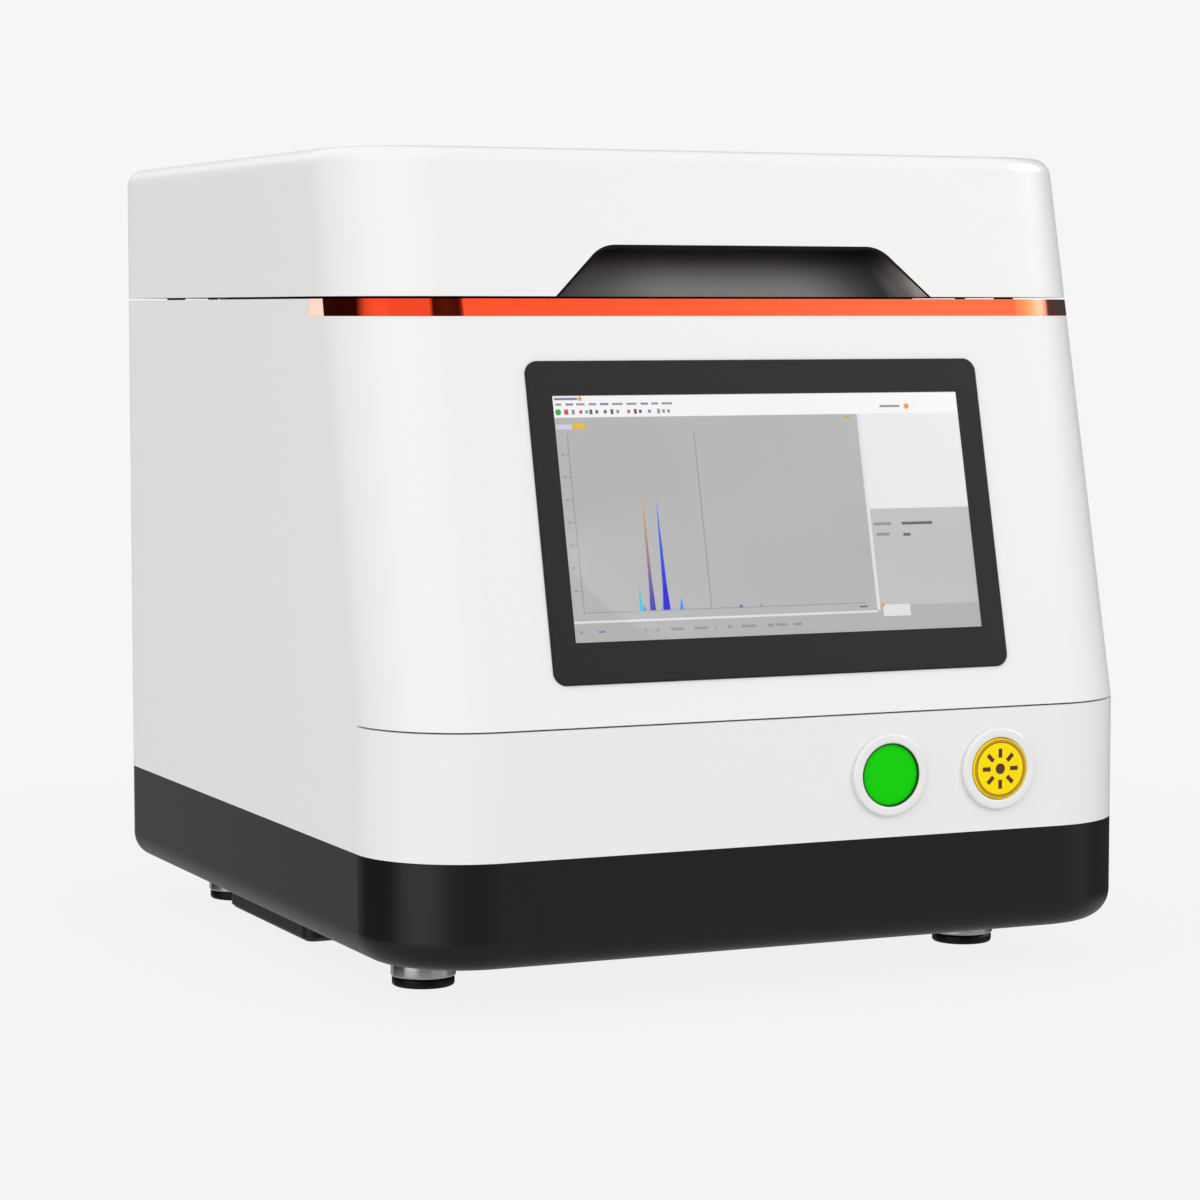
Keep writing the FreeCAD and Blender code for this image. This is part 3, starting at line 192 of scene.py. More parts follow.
# Camera: to the front left, a little above the seam under the lid, looking slightly down.
# Its place and angles were fitted to the outline of the case in the photograph.
fascia_low, fascia_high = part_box("control_panel")
camera_left, camera_back, camera_height = 0.7683, 1.4957, 0.3247
camera_down, camera_right = 4.622, 24.09
camera = bpy.data.cameras.new("camera")
camera.lens = 107.02
camera.sensor_width = 36
viewer = bpy.data.objects.new("camera", camera)
viewer.location = (-camera_left, fascia_low.y - camera_back, camera_height)
viewer.rotation_euler = (math.radians(90 - camera_down), 0, math.radians(-camera_right))
bpy.context.scene.collection.objects.link(viewer)
bpy.context.scene.camera = viewer

# Base tray: the bottom of the case, injection-moulded in black ABS with a spark-eroded mould.
# It takes the feet, and its lower edge has a large radius all the way round.
mm = 0.001


def finish_of(name, dark, light, grain_mm, roughness, spread=0.05, bump_mm=0.0, stretch=(1, 1, 1), **values):
    """A finish whose colour, roughness and relief vary together with one grain of a real size."""
    material = bpy.data.materials.new(name)
    material.use_nodes = True
    tree = material.node_tree
    shader = tree.nodes["Principled BSDF"]
    for key, value in values.items():
        shader.inputs[key.replace("_", " ")].default_value = value
    place = add(tree, "ShaderNodeTexCoord")
    scaled = add(tree, "ShaderNodeMapping", Vector=place.outputs["Object"], Scale=stretch)
    grain = add(tree, "ShaderNodeTexNoise", Vector=scaled.outputs[0], Scale=1 / (grain_mm * mm), Detail=3.0)
    colour = add(tree, "ShaderNodeMix", {"data_type": "RGBA"}, _0=grain.outputs[0],
                 _6=linear(dark), _7=linear(light))
    tree.links.new(colour.outputs[2], shader.inputs["Base Color"])
    rough = add(tree, "ShaderNodeMapRange", Value=grain.outputs[0], To_Min=roughness - spread,
                To_Max=roughness + spread)
    tree.links.new(rough.outputs[0], shader.inputs["Roughness"])
    if bump_mm:
        relief = add(tree, "ShaderNodeBump", Height=grain.outputs[0], Strength=0.5, Distance=bump_mm * mm)
        tree.links.new(relief.outputs[0], shader.inputs["Normal"])
    return material


def coat(material, *nodes):
    """Gives CAD nodes that keep their shape their finish."""
    for node in nodes:
        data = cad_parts[node].data
        data.materials.clear()
        data.materials.append(material)


# Fine satin grain: near black, with a thin, slightly blurred shine at grazing angles.
black_abs = finish_of("satin black moulded ABS", "#0B0B0B", "#111111", 0.9, 0.3, bump_mm=0.012)
coat(black_abs, "base_tray")

# Lifting grips: two rails of the same black ABS with a coarser grain, screwed under the long
# edges of the base tray, where the fingers go when the instrument is carried.

# Coarse grain: a dull black that breaks up any reflection.
grip_abs = finish_of("coarse black moulded ABS", "#0D0D0D", "#161616", 1.4, 0.45, bump_mm=0.04)
coat(grip_abs, "lifting_grips")

# Feet: cups turned from steel bar, each with a soft black rubber pad pushed into it from
# below and one screw up through both into the base.
cups_low, cups_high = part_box("foot_cups")
foot_radius, foot_inner, foot_bore, foot_round = 15.85, 12.7, 2.8, 0.9
pad_radius, pad_neck, pad_bore, pad_round = 15.25, 12.4, 5.2, 1.7
pad_height, seat_height = 7.6, 3.3
pad_gap = 0.05
cup_foot, cup_top = cups_low.z / mm, cups_high.z / mm
foot_places = [Vector((x, y, 0)) for x in (cups_low.x + foot_radius * mm, cups_high.x - foot_radius * mm)
               for y in (cups_low.y + foot_radius * mm, cups_high.y - foot_radius * mm)]
turn_steps = 64


def turned(bm, profile, place, steps=turn_steps):
    """Spins a profile of (radius, height) in millimetres about an upright axis and adds the solid."""
    solid = bmesh.new()
    points = [solid.verts.new((radius * mm, 0, height * mm)) for radius, height in profile]
    lines = [solid.edges.new(pair) for pair in zip(points, points[1:])]
    bmesh.ops.spin(solid, geom=points + lines, cent=(0, 0, 0), axis=(0, 0, 1), dvec=(0, 0, 0),
                   angle=math.tau, steps=steps, use_merge=True, use_duplicate=False)
    bmesh.ops.remove_doubles(solid, verts=solid.verts[:], dist=1e-6)
    bmesh.ops.recalc_face_normals(solid, faces=solid.faces[:])
    bmesh.ops.transform(solid, matrix=place, verts=solid.verts[:])
    mesh = bpy.data.meshes.new("turned")
    solid.to_mesh(mesh)
    solid.free()
    bm.from_mesh(mesh)
    bpy.data.meshes.remove(mesh)


def eased(corners, radius, steps=4):
    """A profile of (radius, height) corners with each inner corner rounded by a short arc."""
    out = [corners[0]]
    for before, corner, after in zip(corners, corners[1:], corners[2:]):
        a = (Vector(before) - Vector(corner)).normalized()
        b = (Vector(after) - Vector(corner)).normalized()
        reach = min(radius, (Vector(before) - Vector(corner)).length / 2,
                    (Vector(after) - Vector(corner)).length / 2)
        start, end = Vector(corner) + a * reach, Vector(corner) + b * reach
        for i in range(steps + 1):
            t = i / steps
            point = start * (1 - t) ** 2 + Vector(corner) * 2 * t * (1 - t) + end * t ** 2
            out.append(tuple(point))
    return out + [corners[-1]]


def smooth(piece, angle=35):
    """Smooth shading that keeps edges sharper than the angle."""
    for face in piece.data.polygons:
        face.use_smooth = True
    piece.data.set_sharp_from_angle(angle=math.radians(angle))
    return piece


bm_cups, bm_pads = bmesh.new(), bmesh.new()
for centre in foot_places:
    place = Matrix.Translation(centre)
    seat = cup_foot + seat_height
    cup_profile = [(foot_bore, seat), (foot_inner, seat), (foot_inner, cup_foot), (foot_radius, cup_foot),
                   (foot_radius, cup_top), (foot_bore, cup_top), (foot_bore, seat)]
    turned(bm_cups, eased(cup_profile, foot_round), place)
    rim = cup_foot - pad_gap
    pad_profile = [(pad_bore, pad_height), (pad_bore, 0), (pad_radius, 0), (pad_radius, rim), (pad_neck, rim),
                   (pad_neck, pad_height), (pad_bore, pad_height)]
    turned(bm_pads, eased(pad_profile, pad_round), place)

# Steel brushed as it spins: broad upright reflections, blurred along fine lines round the cup.
turned_steel = finish_of("turned and brushed steel", "#C2C2C0", "#DEDEDC", 0.5, 0.13, spread=0.05,
                         stretch=(0.02, 0.02, 1), Metallic=1.0)
foot_cups = smooth(new_piece("turned_foot_cups", bm_cups, turned_steel))
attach(foot_cups, "case")
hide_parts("foot_cups")

# Moulded rubber: the deepest black of the object, with hardly any shine.
pad_rubber = finish_of("moulded black rubber", "#030303", "#080808", 0.8, 0.42, bump_mm=0.02,
                       Specular_IOR_Level=0.3)
foot_pads = smooth(new_piece("rubber_foot_pads", bm_pads, pad_rubber))
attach(foot_pads, "case")
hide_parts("foot_pads")

# Housing, fascia and lid shell: moulded in ABS and painted white. The housing and the fascia
# meet in a thin crease, and the underside of the lid's lower lip is black as painted shade.
lip_height = 0.5 * mm

# Semi-gloss two-part paint: an even white whose faint orange peel shows only in reflections.
white_paint = finish_of("semi-gloss white paint on ABS", "#EFEFEE", "#F1F1F0", 2.2, 0.3, spread=0.02,
                        bump_mm=0.004, Specular_IOR_Level=0.3)
coat(white_paint, "main_housing", "control_panel", "lid_shell")

# Painted shade: a dull black under the lid's lower lip that draws the dark joint above the strip.
lip_painted_shade = finish_of("black lid lip as painted shade", "#0A0A0A", "#141414", 0.7, 0.8, bump_mm=0.03,
                     Specular_IOR_Level=0.2)
lid_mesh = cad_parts["lid_shell"].data
lid_mesh.materials.append(lip_painted_shade)
lip_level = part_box("lid_shell")[0].z + lip_height
# The lid's downward faces at its lower lip take the black painted shade.
for face in lid_mesh.polygons:
    if face.normal.z < -0.9 and face.center.z < lip_level:
        face.material_index = 1

# Light strip: a bar of clear acrylic bent round the front corners and clipped in under the
# lid, with a mirror foil in orange-red behind it and a lamp ribbon behind that.

# Polished acrylic over foil: the foil mirrors the room in orange, and the face adds a thin
# clear reflection. Its orange is painted paler towards the right end: painted light.
strip_acrylic_painted_light = finish_of("clear acrylic over orange foil with painted light", "#FF4207", "#FF460B", 9, 0.06, spread=0.01,
                          Metallic=1.0, Coat_Weight=0.6, Coat_Roughness=0.03, Coat_IOR=1.42)


def faded(material, toward_hex, share):
    """Lets a finish go over into another colour where share, an output of its tree, is 1."""
    tree = material.node_tree
    socket = tree.nodes["Principled BSDF"].inputs["Base Color"]
    fade = add(tree, "ShaderNodeMix", {"data_type": "RGBA"}, _0=share, _6=socket.links[0].from_socket,
               _7=linear(toward_hex))
    tree.links.new(fade.outputs[2], socket)


def along(material, direction, start, end):
    """A share that goes smoothly from 0 to 1 between two places along a direction of the object."""
    tree = material.node_tree
    place = add(tree, "ShaderNodeTexCoord").outputs["Object"]
    reach = add(tree, "ShaderNodeVectorMath", {"operation": "DOT_PRODUCT"}, _0=place, _1=direction)
    return add(tree, "ShaderNodeMapRange", {"interpolation_type": "SMOOTHSTEP"},
               Value=reach.outputs["Value"], From_Min=start, From_Max=end).outputs[0]


# Painted light: the orange goes paler from the middle, and pale pink at the right end.
faded(strip_acrylic_painted_light, "#FF5E30", along(strip_acrylic_painted_light, (1, 0, 0), -0.14, 0.12))
faded(strip_acrylic_painted_light, "#FFD2C8", along(strip_acrylic_painted_light, (1, 0, 0), 0.153, 0.198))
coat(strip_acrylic_painted_light, "light_strip")

# Sawn ends, left frosted, with a painted glow: they give off a pale peach light of their own.
strip_end_painted_glow = finish_of("frosted strip end with painted glow", "#FFD9CA", "#FFE0D3", 4.0, 0.35,
                      Emission_Strength=0.3, Emission_Color=linear("#FFA486"))
strip_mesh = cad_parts["light_strip"].data
strip_mesh.materials.append(strip_end_painted_glow)
# Faces at the two ends take the painted glow.
for face in strip_mesh.polygons:
    if abs(face.normal.x) > 0.999:
        face.material_index = 1

# White lacquer on the ribbon: a plain, slightly warm white behind the foil.
ribbon = finish_of("lamp ribbon with white lacquer", "#D8D8CC", "#E6E6DC", 3, 0.5)
coat(ribbon, "led_ribbon")

# Push buttons: a white moulded ring screwed into the fascia and a coloured cap in each,
# matt on its face. The start cap is green and sits a little below its ring.
ring_radius, ring_proud, ring_round, ring_wall, ring_depth = 20.0, 3.2, 1.5, 1.6, 14
cap_radius, cap_gap, cap_round, cap_depth = 14.8, 0.35, 0.5, 8
stem_radius, stem_depth = 4, 18
start_sunk, xray_sunk = 0.8, 0.06
ring_seat = 0.02
round_steps = 96
button_z = (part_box("start_ring")[0].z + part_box("start_ring")[1].z) / 2


def facing_front(node):
    """The place of a round piece on the fascia: its axis points out of the front."""
    low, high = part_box(node)
    centre = Vector(((low.x + high.x) / 2, fascia_low.y, button_z))
    return Matrix.Translation(centre) @ Matrix.Rotation(math.pi / 2, 4, "X")


# Polished mould, no grain: a clean white with a soft shine along the rounded edge.
ring_abs = finish_of("smooth white moulded ABS", "#ECECEB", "#EFEFEE", 1.6, 0.28, spread=0.02)
cap_fronts = {"start": -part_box("start_cap")[0].y / mm - start_sunk,
              "xray": -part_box("xray_cap")[0].y / mm - xray_sunk}

# Caps moulded in dyed polycarbonate, etched matt: strong flat colours without a highlight.
cap_finishes = {
    "start": finish_of("matt green polycarbonate", "#0CD200", "#10D802", 3.0, 0.5, spread=0.03,
                       Specular_IOR_Level=0.12),
    "xray": finish_of("matt yellow polycarbonate", "#FFE000", "#FFE600", 3.0, 0.5, spread=0.03,
                      Specular_IOR_Level=0.12),
}
for name, body in (("start", "start_button"), ("xray", "xray_button")):
    place = facing_front(name + "_ring")
    bore = cap_radius + cap_gap
    barrel = bore + ring_wall
    bm = bmesh.new()
    profile = [(bore, -ring_depth), (bore, ring_proud), (ring_radius, ring_proud), (ring_radius, ring_seat),
               (barrel, ring_seat), (barrel, -ring_depth), (bore, -ring_depth)]
    turned(bm, eased(profile, ring_round, 6), place, round_steps)
    ring = smooth(new_piece(name + "_button_ring", bm, ring_abs))
    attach(ring, "case")
    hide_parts(name + "_ring")
    front = cap_fronts[name] + fascia_low.y / mm
    bm = bmesh.new()
    profile = [(0, -stem_depth), (stem_radius, -stem_depth), (stem_radius, front - cap_depth),
               (cap_radius, front - cap_depth), (cap_radius, front), (0, front)]
    turned(bm, eased(profile, cap_round), place, round_steps)
    cap = smooth(new_piece(name + "_button_cap", bm, cap_finishes[name]))
    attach(cap, body)
    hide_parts(name + "_cap")

# Painted shade in the start button: a thin dark green sleeve in the ring's bore, round the cap,
# which stands for the shade in the gap between the cap and its ring.
bore_shade_inner, bore_shade_outer = cap_radius + 0.05, cap_radius + cap_gap - 0.01
bore_shade_depth, bore_shade_front = 10, ring_proud - 0.35

# Painted shade: a dark green line between the bright cap and its white ring.
bore_shade_green = finish_of("dark green painted bore shade", "#0A3D08", "#0E4A0C", 1.0, 0.5, spread=0.03)
# The dark green sleeve of painted shade round the start cap.
bm = bmesh.new()
turned(bm, [(bore_shade_inner, -bore_shade_depth), (bore_shade_inner, bore_shade_front), (bore_shade_outer, bore_shade_front),
            (bore_shade_outer, -bore_shade_depth), (bore_shade_inner, -bore_shade_depth)], facing_front("start_ring"), round_steps)
bore_shade = smooth(new_piece("start_cap_bore_shade", bm, bore_shade_green))
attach(bore_shade, "case")

# Print on the x-ray cap: an amber border, a thin brown ring and a plain ray mark. They are pad
# printed, in ink so thin that it hardly stands proud of the cap.
ink_lift = 0.06
border_inner, border_outer = 13.3, cap_radius - 0.55
line_inner, line_outer = 12.7, 13.15
ray_count, ray_width, ray_length, ray_middle, hub_radius = 8, 2.1, 4.4, 7.6, 2.6

# Pad printing inks: flat amber and brown with the same dull face.
amber = finish_of("amber pad print", "#BE870E", "#C8940F", 1.5, 0.55)
brown = finish_of("brown pad print", "#552823", "#5E2E27", 1.5, 0.55)
place = facing_front("xray_ring")
front = cap_fronts["xray"] + fascia_low.y / mm


def printed_ring(bm, inner, outer, level):
    """A ring of ink, or a full disc where inner is 0."""
    profile = [(inner, level), (outer, level), (outer, level + ink_lift), (inner, level + ink_lift)]
    turned(bm, profile + profile[:1] if inner else profile, place, round_steps)


bm = bmesh.new()
printed_ring(bm, border_inner, border_outer, front - ink_lift / 2)
amber_border = smooth(new_piece("amber_cap_border", bm, amber))
bm = bmesh.new()
printed_ring(bm, line_inner, line_outer, front - ink_lift / 2)
for i in range(ray_count):
    ray = bmesh.ops.create_cube(bm, size=1)["verts"]
    shape = Matrix.Diagonal((ray_width * mm, ray_length * mm, ink_lift * mm, 1))
    shift = Matrix.Translation((0, ray_middle * mm, front * mm))
    bmesh.ops.transform(bm, matrix=place @ Matrix.Rotation(math.tau * i / ray_count, 4, "Z") @ shift @ shape,
                        verts=ray)
printed_ring(bm, 0.0, hub_radius, front - ink_lift / 2)
ray_mark = smooth(new_piece("ray_cap_mark", bm, brown))
for piece in (amber_border, ray_mark):
    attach(piece, "xray_button")

# Display: a painted die-cast frame set into the leaning front, a cover glass bonded in just
# below its face, and the lit panel behind a thin air gap.
lean = math.atan(0.2428)
crease_gap = 0.4 * mm
crease_z = fascia_high.z + crease_gap
slope = Matrix.Translation((0, fascia_low.y, crease_z)) @ Matrix.Rotation(math.pi / 2 - lean, 4, "X")
lit_width, lit_height, lit_low = 216.0, 117.0, 39.75
glass_front, glass_edge, glass_clear = 1.0, 0.15, 0.1
screen_face = -0.8
air_gap = 0.2

# Satin paint with a fine texture: a dark grey that goes a little lighter at grazing angles.
bezel_paint = finish_of("satin dark grey paint", "#1E1E1E", "#232323", 1.0, 0.5, spread=0.03, bump_mm=0.01,
                        Specular_IOR_Level=0.25)
coat(bezel_paint, "display_bezel")


def slab(bm, across, up, outward, place):
    """A block from ranges in millimetres, put in place."""
    ranges = (across, up, outward)
    size = Matrix.Diagonal([(high - low) * mm for low, high in ranges] + [1])
    middle = Matrix.Translation([(high + low) / 2 * mm for low, high in ranges])
    corners = bmesh.ops.create_cube(bm, size=1)["verts"]
    bmesh.ops.transform(bm, matrix=place @ middle @ size, verts=corners)
    return corners


bm = bmesh.new()
half = lit_width / 2 - glass_clear
slab(bm, (-half, half), (lit_low + glass_clear, lit_low + lit_height - glass_clear),
     (screen_face + air_gap, glass_front), slope)
bmesh.ops.bevel(bm, geom=bm.edges[:], offset=glass_edge * mm, offset_type="OFFSET", segments=2, profile=0.5,
                affect="EDGES", material=-1)

# Coated glass: clear, with a much weaker reflection than bare glass, so its IOR is a low one,
# and with faint smears that blur it a little.
cover_glass = bpy.data.materials.new("anti-reflection coated cover glass")
cover_glass.use_nodes = True
tree = cover_glass.node_tree
shader = tree.nodes["Principled BSDF"]
shader.inputs["Transmission Weight"].default_value = 1.0
shader.inputs["IOR"].default_value = 1.2
smear = add(tree, "ShaderNodeTexNoise", Vector=add(tree, "ShaderNodeTexCoord").outputs["Object"], Scale=40.0)
rough = add(tree, "ShaderNodeMapRange", Value=smear.outputs[0], To_Min=0.0, To_Max=0.03)
tree.links.new(rough.outputs[0], shader.inputs["Roughness"])
glass = smooth(new_piece("cover_glass", bm, cover_glass))
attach(glass, "case")
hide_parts("touch_glass")

# Screen picture: what the lit panel shows. It is a plain analysis window with a tool bar, a
# grey plot with two tall peaks, a column at the right and a status line, all in bars, dots and
# blocks without words. Places in it are shares of the lit area from its top left corner.
layer_step, pixel_depth, line_lift = 0.02, 0.015, 0.01


# Backlit pixels: they give off their own even light and reflect next to none.
def lit(name, hex_colour, top_hex=None, low=0.0, high=1.0):
    """Backlit pixels of one colour, or of two from one height of the screen to another."""
    material = bpy.data.materials.new(name)
    material.use_nodes = True
    tree = material.node_tree
    shader = tree.nodes["Principled BSDF"]
    shader.inputs["Base Color"].default_value = (0.01, 0.01, 0.01, 1)
    shader.inputs["Roughness"].default_value = 0.6
    shader.inputs["Specular IOR Level"].default_value = 0.1
    shader.inputs["Emission Strength"].default_value = 1.16
    place = add(tree, "ShaderNodeTexCoord")
    uneven = add(tree, "ShaderNodeTexNoise", Vector=place.outputs["Object"], Scale=1 / (45 * mm), Detail=1.0)
    level = add(tree, "ShaderNodeMapRange", Value=uneven.outputs[0], To_Min=0.985, To_Max=1.015)
    colour = linear(hex_colour)
    if top_hex:
        height = add(tree, "ShaderNodeSeparateXYZ", _0=place.outputs["Object"])
        up = add(tree, "ShaderNodeMapRange", Value=height.outputs["Z"], From_Min=low, From_Max=high)
        shade = add(tree, "ShaderNodeMix", {"data_type": "RGBA"}, _0=up.outputs[0],
                    _6=colour, _7=linear(top_hex))
        colour = shade.outputs[2]
    dimmed = add(tree, "ShaderNodeMix", {"data_type": "RGBA", "blend_type": "MULTIPLY"}, _0=1.0,
                 _6=colour, _7=level.outputs[0])
    tree.links.new(dimmed.outputs[2], shader.inputs["Emission Color"])
    return material


def screen_place(u, v):
    """Millimetres across and up the slope for shares of the lit area from its top left."""
    return (u - 0.5) * lit_width, lit_low + (1 - v) * lit_height


def screen_z(v):
    """The height in space of a share v down the screen."""
    return (slope @ Vector((0, screen_place(0, v)[1] * mm, 0))).z


def block(name, u0, u1, v0, v1):
    """A rectangle in a named part of the picture, at the level of that part."""
    x0, y1 = screen_place(u0, v0)
    x1, y0 = screen_place(u1, v1)
    face = screen_face + layers[name][1] * layer_step
    slab(picture[name], (x0, x1), (y0, y1), (face, face + pixel_depth), slope)


def dot(name, u, v, radius, steps=20):
    """A round spot of a radius in millimetres, in a named part of the picture."""
    x, y = screen_place(u, v)
    face = screen_face + layers[name][1] * layer_step
    bm = picture[name]
    disc = bmesh.ops.create_cone(bm, cap_ends=True, segments=steps, radius1=radius * mm, radius2=radius * mm,
                                 depth=pixel_depth * mm)["verts"]
    bmesh.ops.transform(bm, matrix=slope @ Matrix.Translation((x * mm, y * mm, face * mm)), verts=disc)


def peak(bm, u, half_u, foot_v, top_v, layer):
    """A narrow spectrum line: a triangle with slightly hollow flanks."""
    face = screen_face + layer * layer_step + line_lift
    flank = [(-1, 0.0), (-0.6, 0.22), (-0.34, 0.6), (0, 1.0), (0.34, 0.6), (0.6, 0.22), (1, 0.0)]
    corners = []
    for across, rise in flank:
        x, y = screen_place(u + across * half_u, foot_v + (top_v - foot_v) * rise)
        corners.append(bm.verts.new(slope @ Vector((x * mm, y * mm, face * mm))))
    shape = bm.faces.new(corners)
    bmesh.ops.recalc_face_normals(bm, faces=[shape])


grey_plot = lit("lit grey", "#BCBCBC")
coat(grey_plot, "lcd_panel")

# The picture's parts: the colour of each and its level above the grey plot
layers = {
    "tool_bar": (lit("lit white", "#FCFCFC"), 1),
    "side_column": (lit("lit pale grey", "#F1F1F1"), 1),
    "side_lower": (lit("lit cool grey", "#C8C8C8"), 1),
    "status_line": (lit("lit status grey", "#B9B9B9"), 1),
    "frame_lines": (lit("lit line white", "#E8E8EC"), 2),
    "soft_marks": (lit("lit mark grey", "#9C9CA6"), 3),
    "dark_marks": (lit("lit mark dark", "#6A6A74"), 3),
    "violet_marks": (lit("lit mark violet", "#8C86B8"), 3),
    "orange_marks": (lit("lit mark orange", "#F0A23A"), 3),
    "red_marks": (lit("lit mark red", "#D8584E"), 3),
    "green_marks": (lit("lit mark green", "#3FB04E"), 3),
    "teal_marks": (lit("lit mark teal", "#7FB4B4"), 3),
    "gold_chip": (lit("lit gold", "#F2C23C"), 3),
    "lavender_chip": (lit("lit lavender", "#D9D6EC"), 3),
}
plot_right, scroll_bar, bar_foot = 0.742, 0.008, 0.088
column_left, column_split, column_foot = plot_right + scroll_bar, 0.489, 0.894
status_top, axis_left, axis_foot = 0.921, 0.029, 0.878
picture = {name: bmesh.new() for name in layers}
block("tool_bar", 0.0, 1.0, 0.0, bar_foot)
block("side_column", column_left, 1.0, bar_foot, column_split)
block("side_lower", column_left, 1.0, column_split, column_foot)
block("status_line", 0.0, 1.0, status_top, 1.0)
block("status_line", column_left, 1.0, column_foot + 0.002, status_top)

# Frames and scroll bar of the plot, its axis ticks and cursor line
block("frame_lines", plot_right, column_left, bar_foot, status_top - 0.01)
block("frame_lines", 0.0, plot_right, status_top - 0.009, status_top)
block("frame_lines", 0.7567, 0.8254, 0.8905, 0.9388)
block("soft_marks", 0.3325, 0.3350, bar_foot + 0.06, axis_foot)
block("soft_marks", axis_left, axis_left + 0.002, 0.155, axis_foot)
block("soft_marks", axis_left, plot_right - 0.03, axis_foot, axis_foot + 0.003)
block("dark_marks", 0.698, 0.718, 0.892, 0.898)
tick_count, tick_top, tick_step = 7, 0.237, 0.092
for i in range(tick_count):
    v = tick_top + i * tick_step
    block("soft_marks", 0.023, 0.030, v, v + 0.004)
    block("soft_marks", 0.012, 0.019, v - 0.003, v + 0.005)

# Tool bar: a title dash, a menu row and a row of small round and square tools
block("violet_marks", 0.007, 0.062, 0.007, 0.017)
dot("orange_marks", 0.068, 0.012, 1.0)
menu_starts = (0.009, 0.033, 0.058, 0.088, 0.115, 0.143, 0.178, 0.212, 0.238, 0.262)
menu_widths = (0.014, 0.018, 0.020, 0.018, 0.020, 0.026, 0.024, 0.018, 0.016, 0.026)
for i, (start, wide) in enumerate(zip(menu_starts, menu_widths)):
    name = "violet_marks" if i % 3 == 1 else "soft_marks"
    block(name, start, start + wide, 0.030, 0.039)
tools = [("soft_marks", 0.046), ("red_marks", 0.064), ("teal_marks", 0.078), ("dark_marks", 0.088),
         ("dark_marks", 0.102), ("dark_marks", 0.122), ("dark_marks", 0.138), ("soft_marks", 0.152),
         ("red_marks", 0.178), ("dark_marks", 0.194), ("dark_marks", 0.206), ("violet_marks", 0.228),
         ("soft_marks", 0.250), ("soft_marks", 0.262), ("soft_marks", 0.274)]
tool_row, tool_width = 0.066, 0.007
dot("green_marks", 0.014, tool_row, 1.5)
block("red_marks", 0.028, 0.038, 0.055, 0.076)
for i, (name, u) in enumerate(tools):
    tall = 0.007 if i % 3 else 0.010
    block(name, u, u + tool_width, tool_row - tall, tool_row + tall)
block("soft_marks", 0.803, 0.854, 0.052, 0.062)
dot("orange_marks", 0.871, 0.058, 1.4)

# Chips and the dash in the plot's corners, marks in the right column and the status line
block("lavender_chip", 0.006, 0.043, 0.116, 0.136)
block("gold_chip", 0.045, 0.075, 0.114, 0.134)
block("orange_marks", 0.711, 0.725, 0.095, 0.103)
column_marks = [("soft_marks", 0.755, 0.800, 0.553), ("dark_marks", 0.827, 0.905, 0.553),
                ("soft_marks", 0.760, 0.793, 0.597), ("dark_marks", 0.828, 0.846, 0.600)]
for name, start, end, v in column_marks:
    block(name, start, end, v - 0.006, v + 0.006)
dot("orange_marks", 0.757, 0.892, 0.9)
status_marks = [(0.015, 0.022), (0.167, 0.174), (0.196, 0.204), (0.230, 0.262), (0.288, 0.320),
                (0.337, 0.340), (0.368, 0.378), (0.402, 0.438), (0.465, 0.480), (0.487, 0.513),
                (0.529, 0.550)]
for start, end in status_marks:
    block("soft_marks", start, end, 0.951, 0.962)
block("violet_marks", 0.059, 0.076, 0.953, 0.961)

for name, (material, _) in layers.items():
    piece = new_piece("screen_" + name, picture[name], material)
    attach(piece, "case")

# Spectrum lines: two tall ones, which change colour with their height, and low ones in blue
violet_gold = lit("lit violet to gold", "#4A34B4", "#DDAA18", screen_z(0.84), screen_z(0.46))
deep_blue = lit("lit deep to light blue", "#1212D8", "#3F7BFF", screen_z(0.80), screen_z(0.45))
lines = [
    ("gold_line", 0.1930, 0.0070, 0.383, violet_gold),
    ("blue_line", 0.2262, 0.0085, 0.427, deep_blue),
    ("cyan_line_a", 0.1655, 0.0050, 0.771, lit("lit cyan a", "#22C4E8")),
    ("cyan_blip", 0.1735, 0.0045, 0.850, lit("lit cyan b", "#1FA0E8")),
    ("cyan_line_b", 0.2190, 0.0050, 0.828, lit("lit cyan c", "#22B0F0")),
    ("cyan_line_c", 0.2620, 0.0060, 0.830, lit("lit cyan d", "#2A98F0")),
    ("blue_blip_a", 0.4056, 0.0060, 0.866, lit("lit blue a", "#2060C8")),
    ("blue_blip_b", 0.4545, 0.0035, 0.868, lit("lit blue b", "#30A0D8")),
]
for i, (name, u, half_u, top_v, material) in enumerate(lines):
    bm = bmesh.new()
    peak(bm, u, half_u, axis_foot, top_v, 4 + i % 3)
    piece = new_piece("screen_" + name, bm, material)
    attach(piece, "case")

# Hand recess: a pressed steel cup let into the lid's lower edge from inside and sprayed with a
# dark metallic paint. Its faces at the front of the lid are black, as painted shade along its edge.
cup_low, cup_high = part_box("handle_cup")
wall_slant = 0.81
slant = (1, 0, wall_slant)
slant_low = wall_slant * cup_low.z
edge_shade_depth = 8 * mm

# Metallic paint with painted shade and light: pale grey low in the middle, painted darker towards
# both ends and near black towards the roof. The right wall, which starts along a slanted line,
# has a lighter band painted on it.
cup_paint_painted_shade = finish_of("dark metallic paint", "#A2A2A1", "#AEAEAC", 0.5, 0.42, spread=0.05,
                      stretch=(1, 1, 0.1), Metallic=0.5)
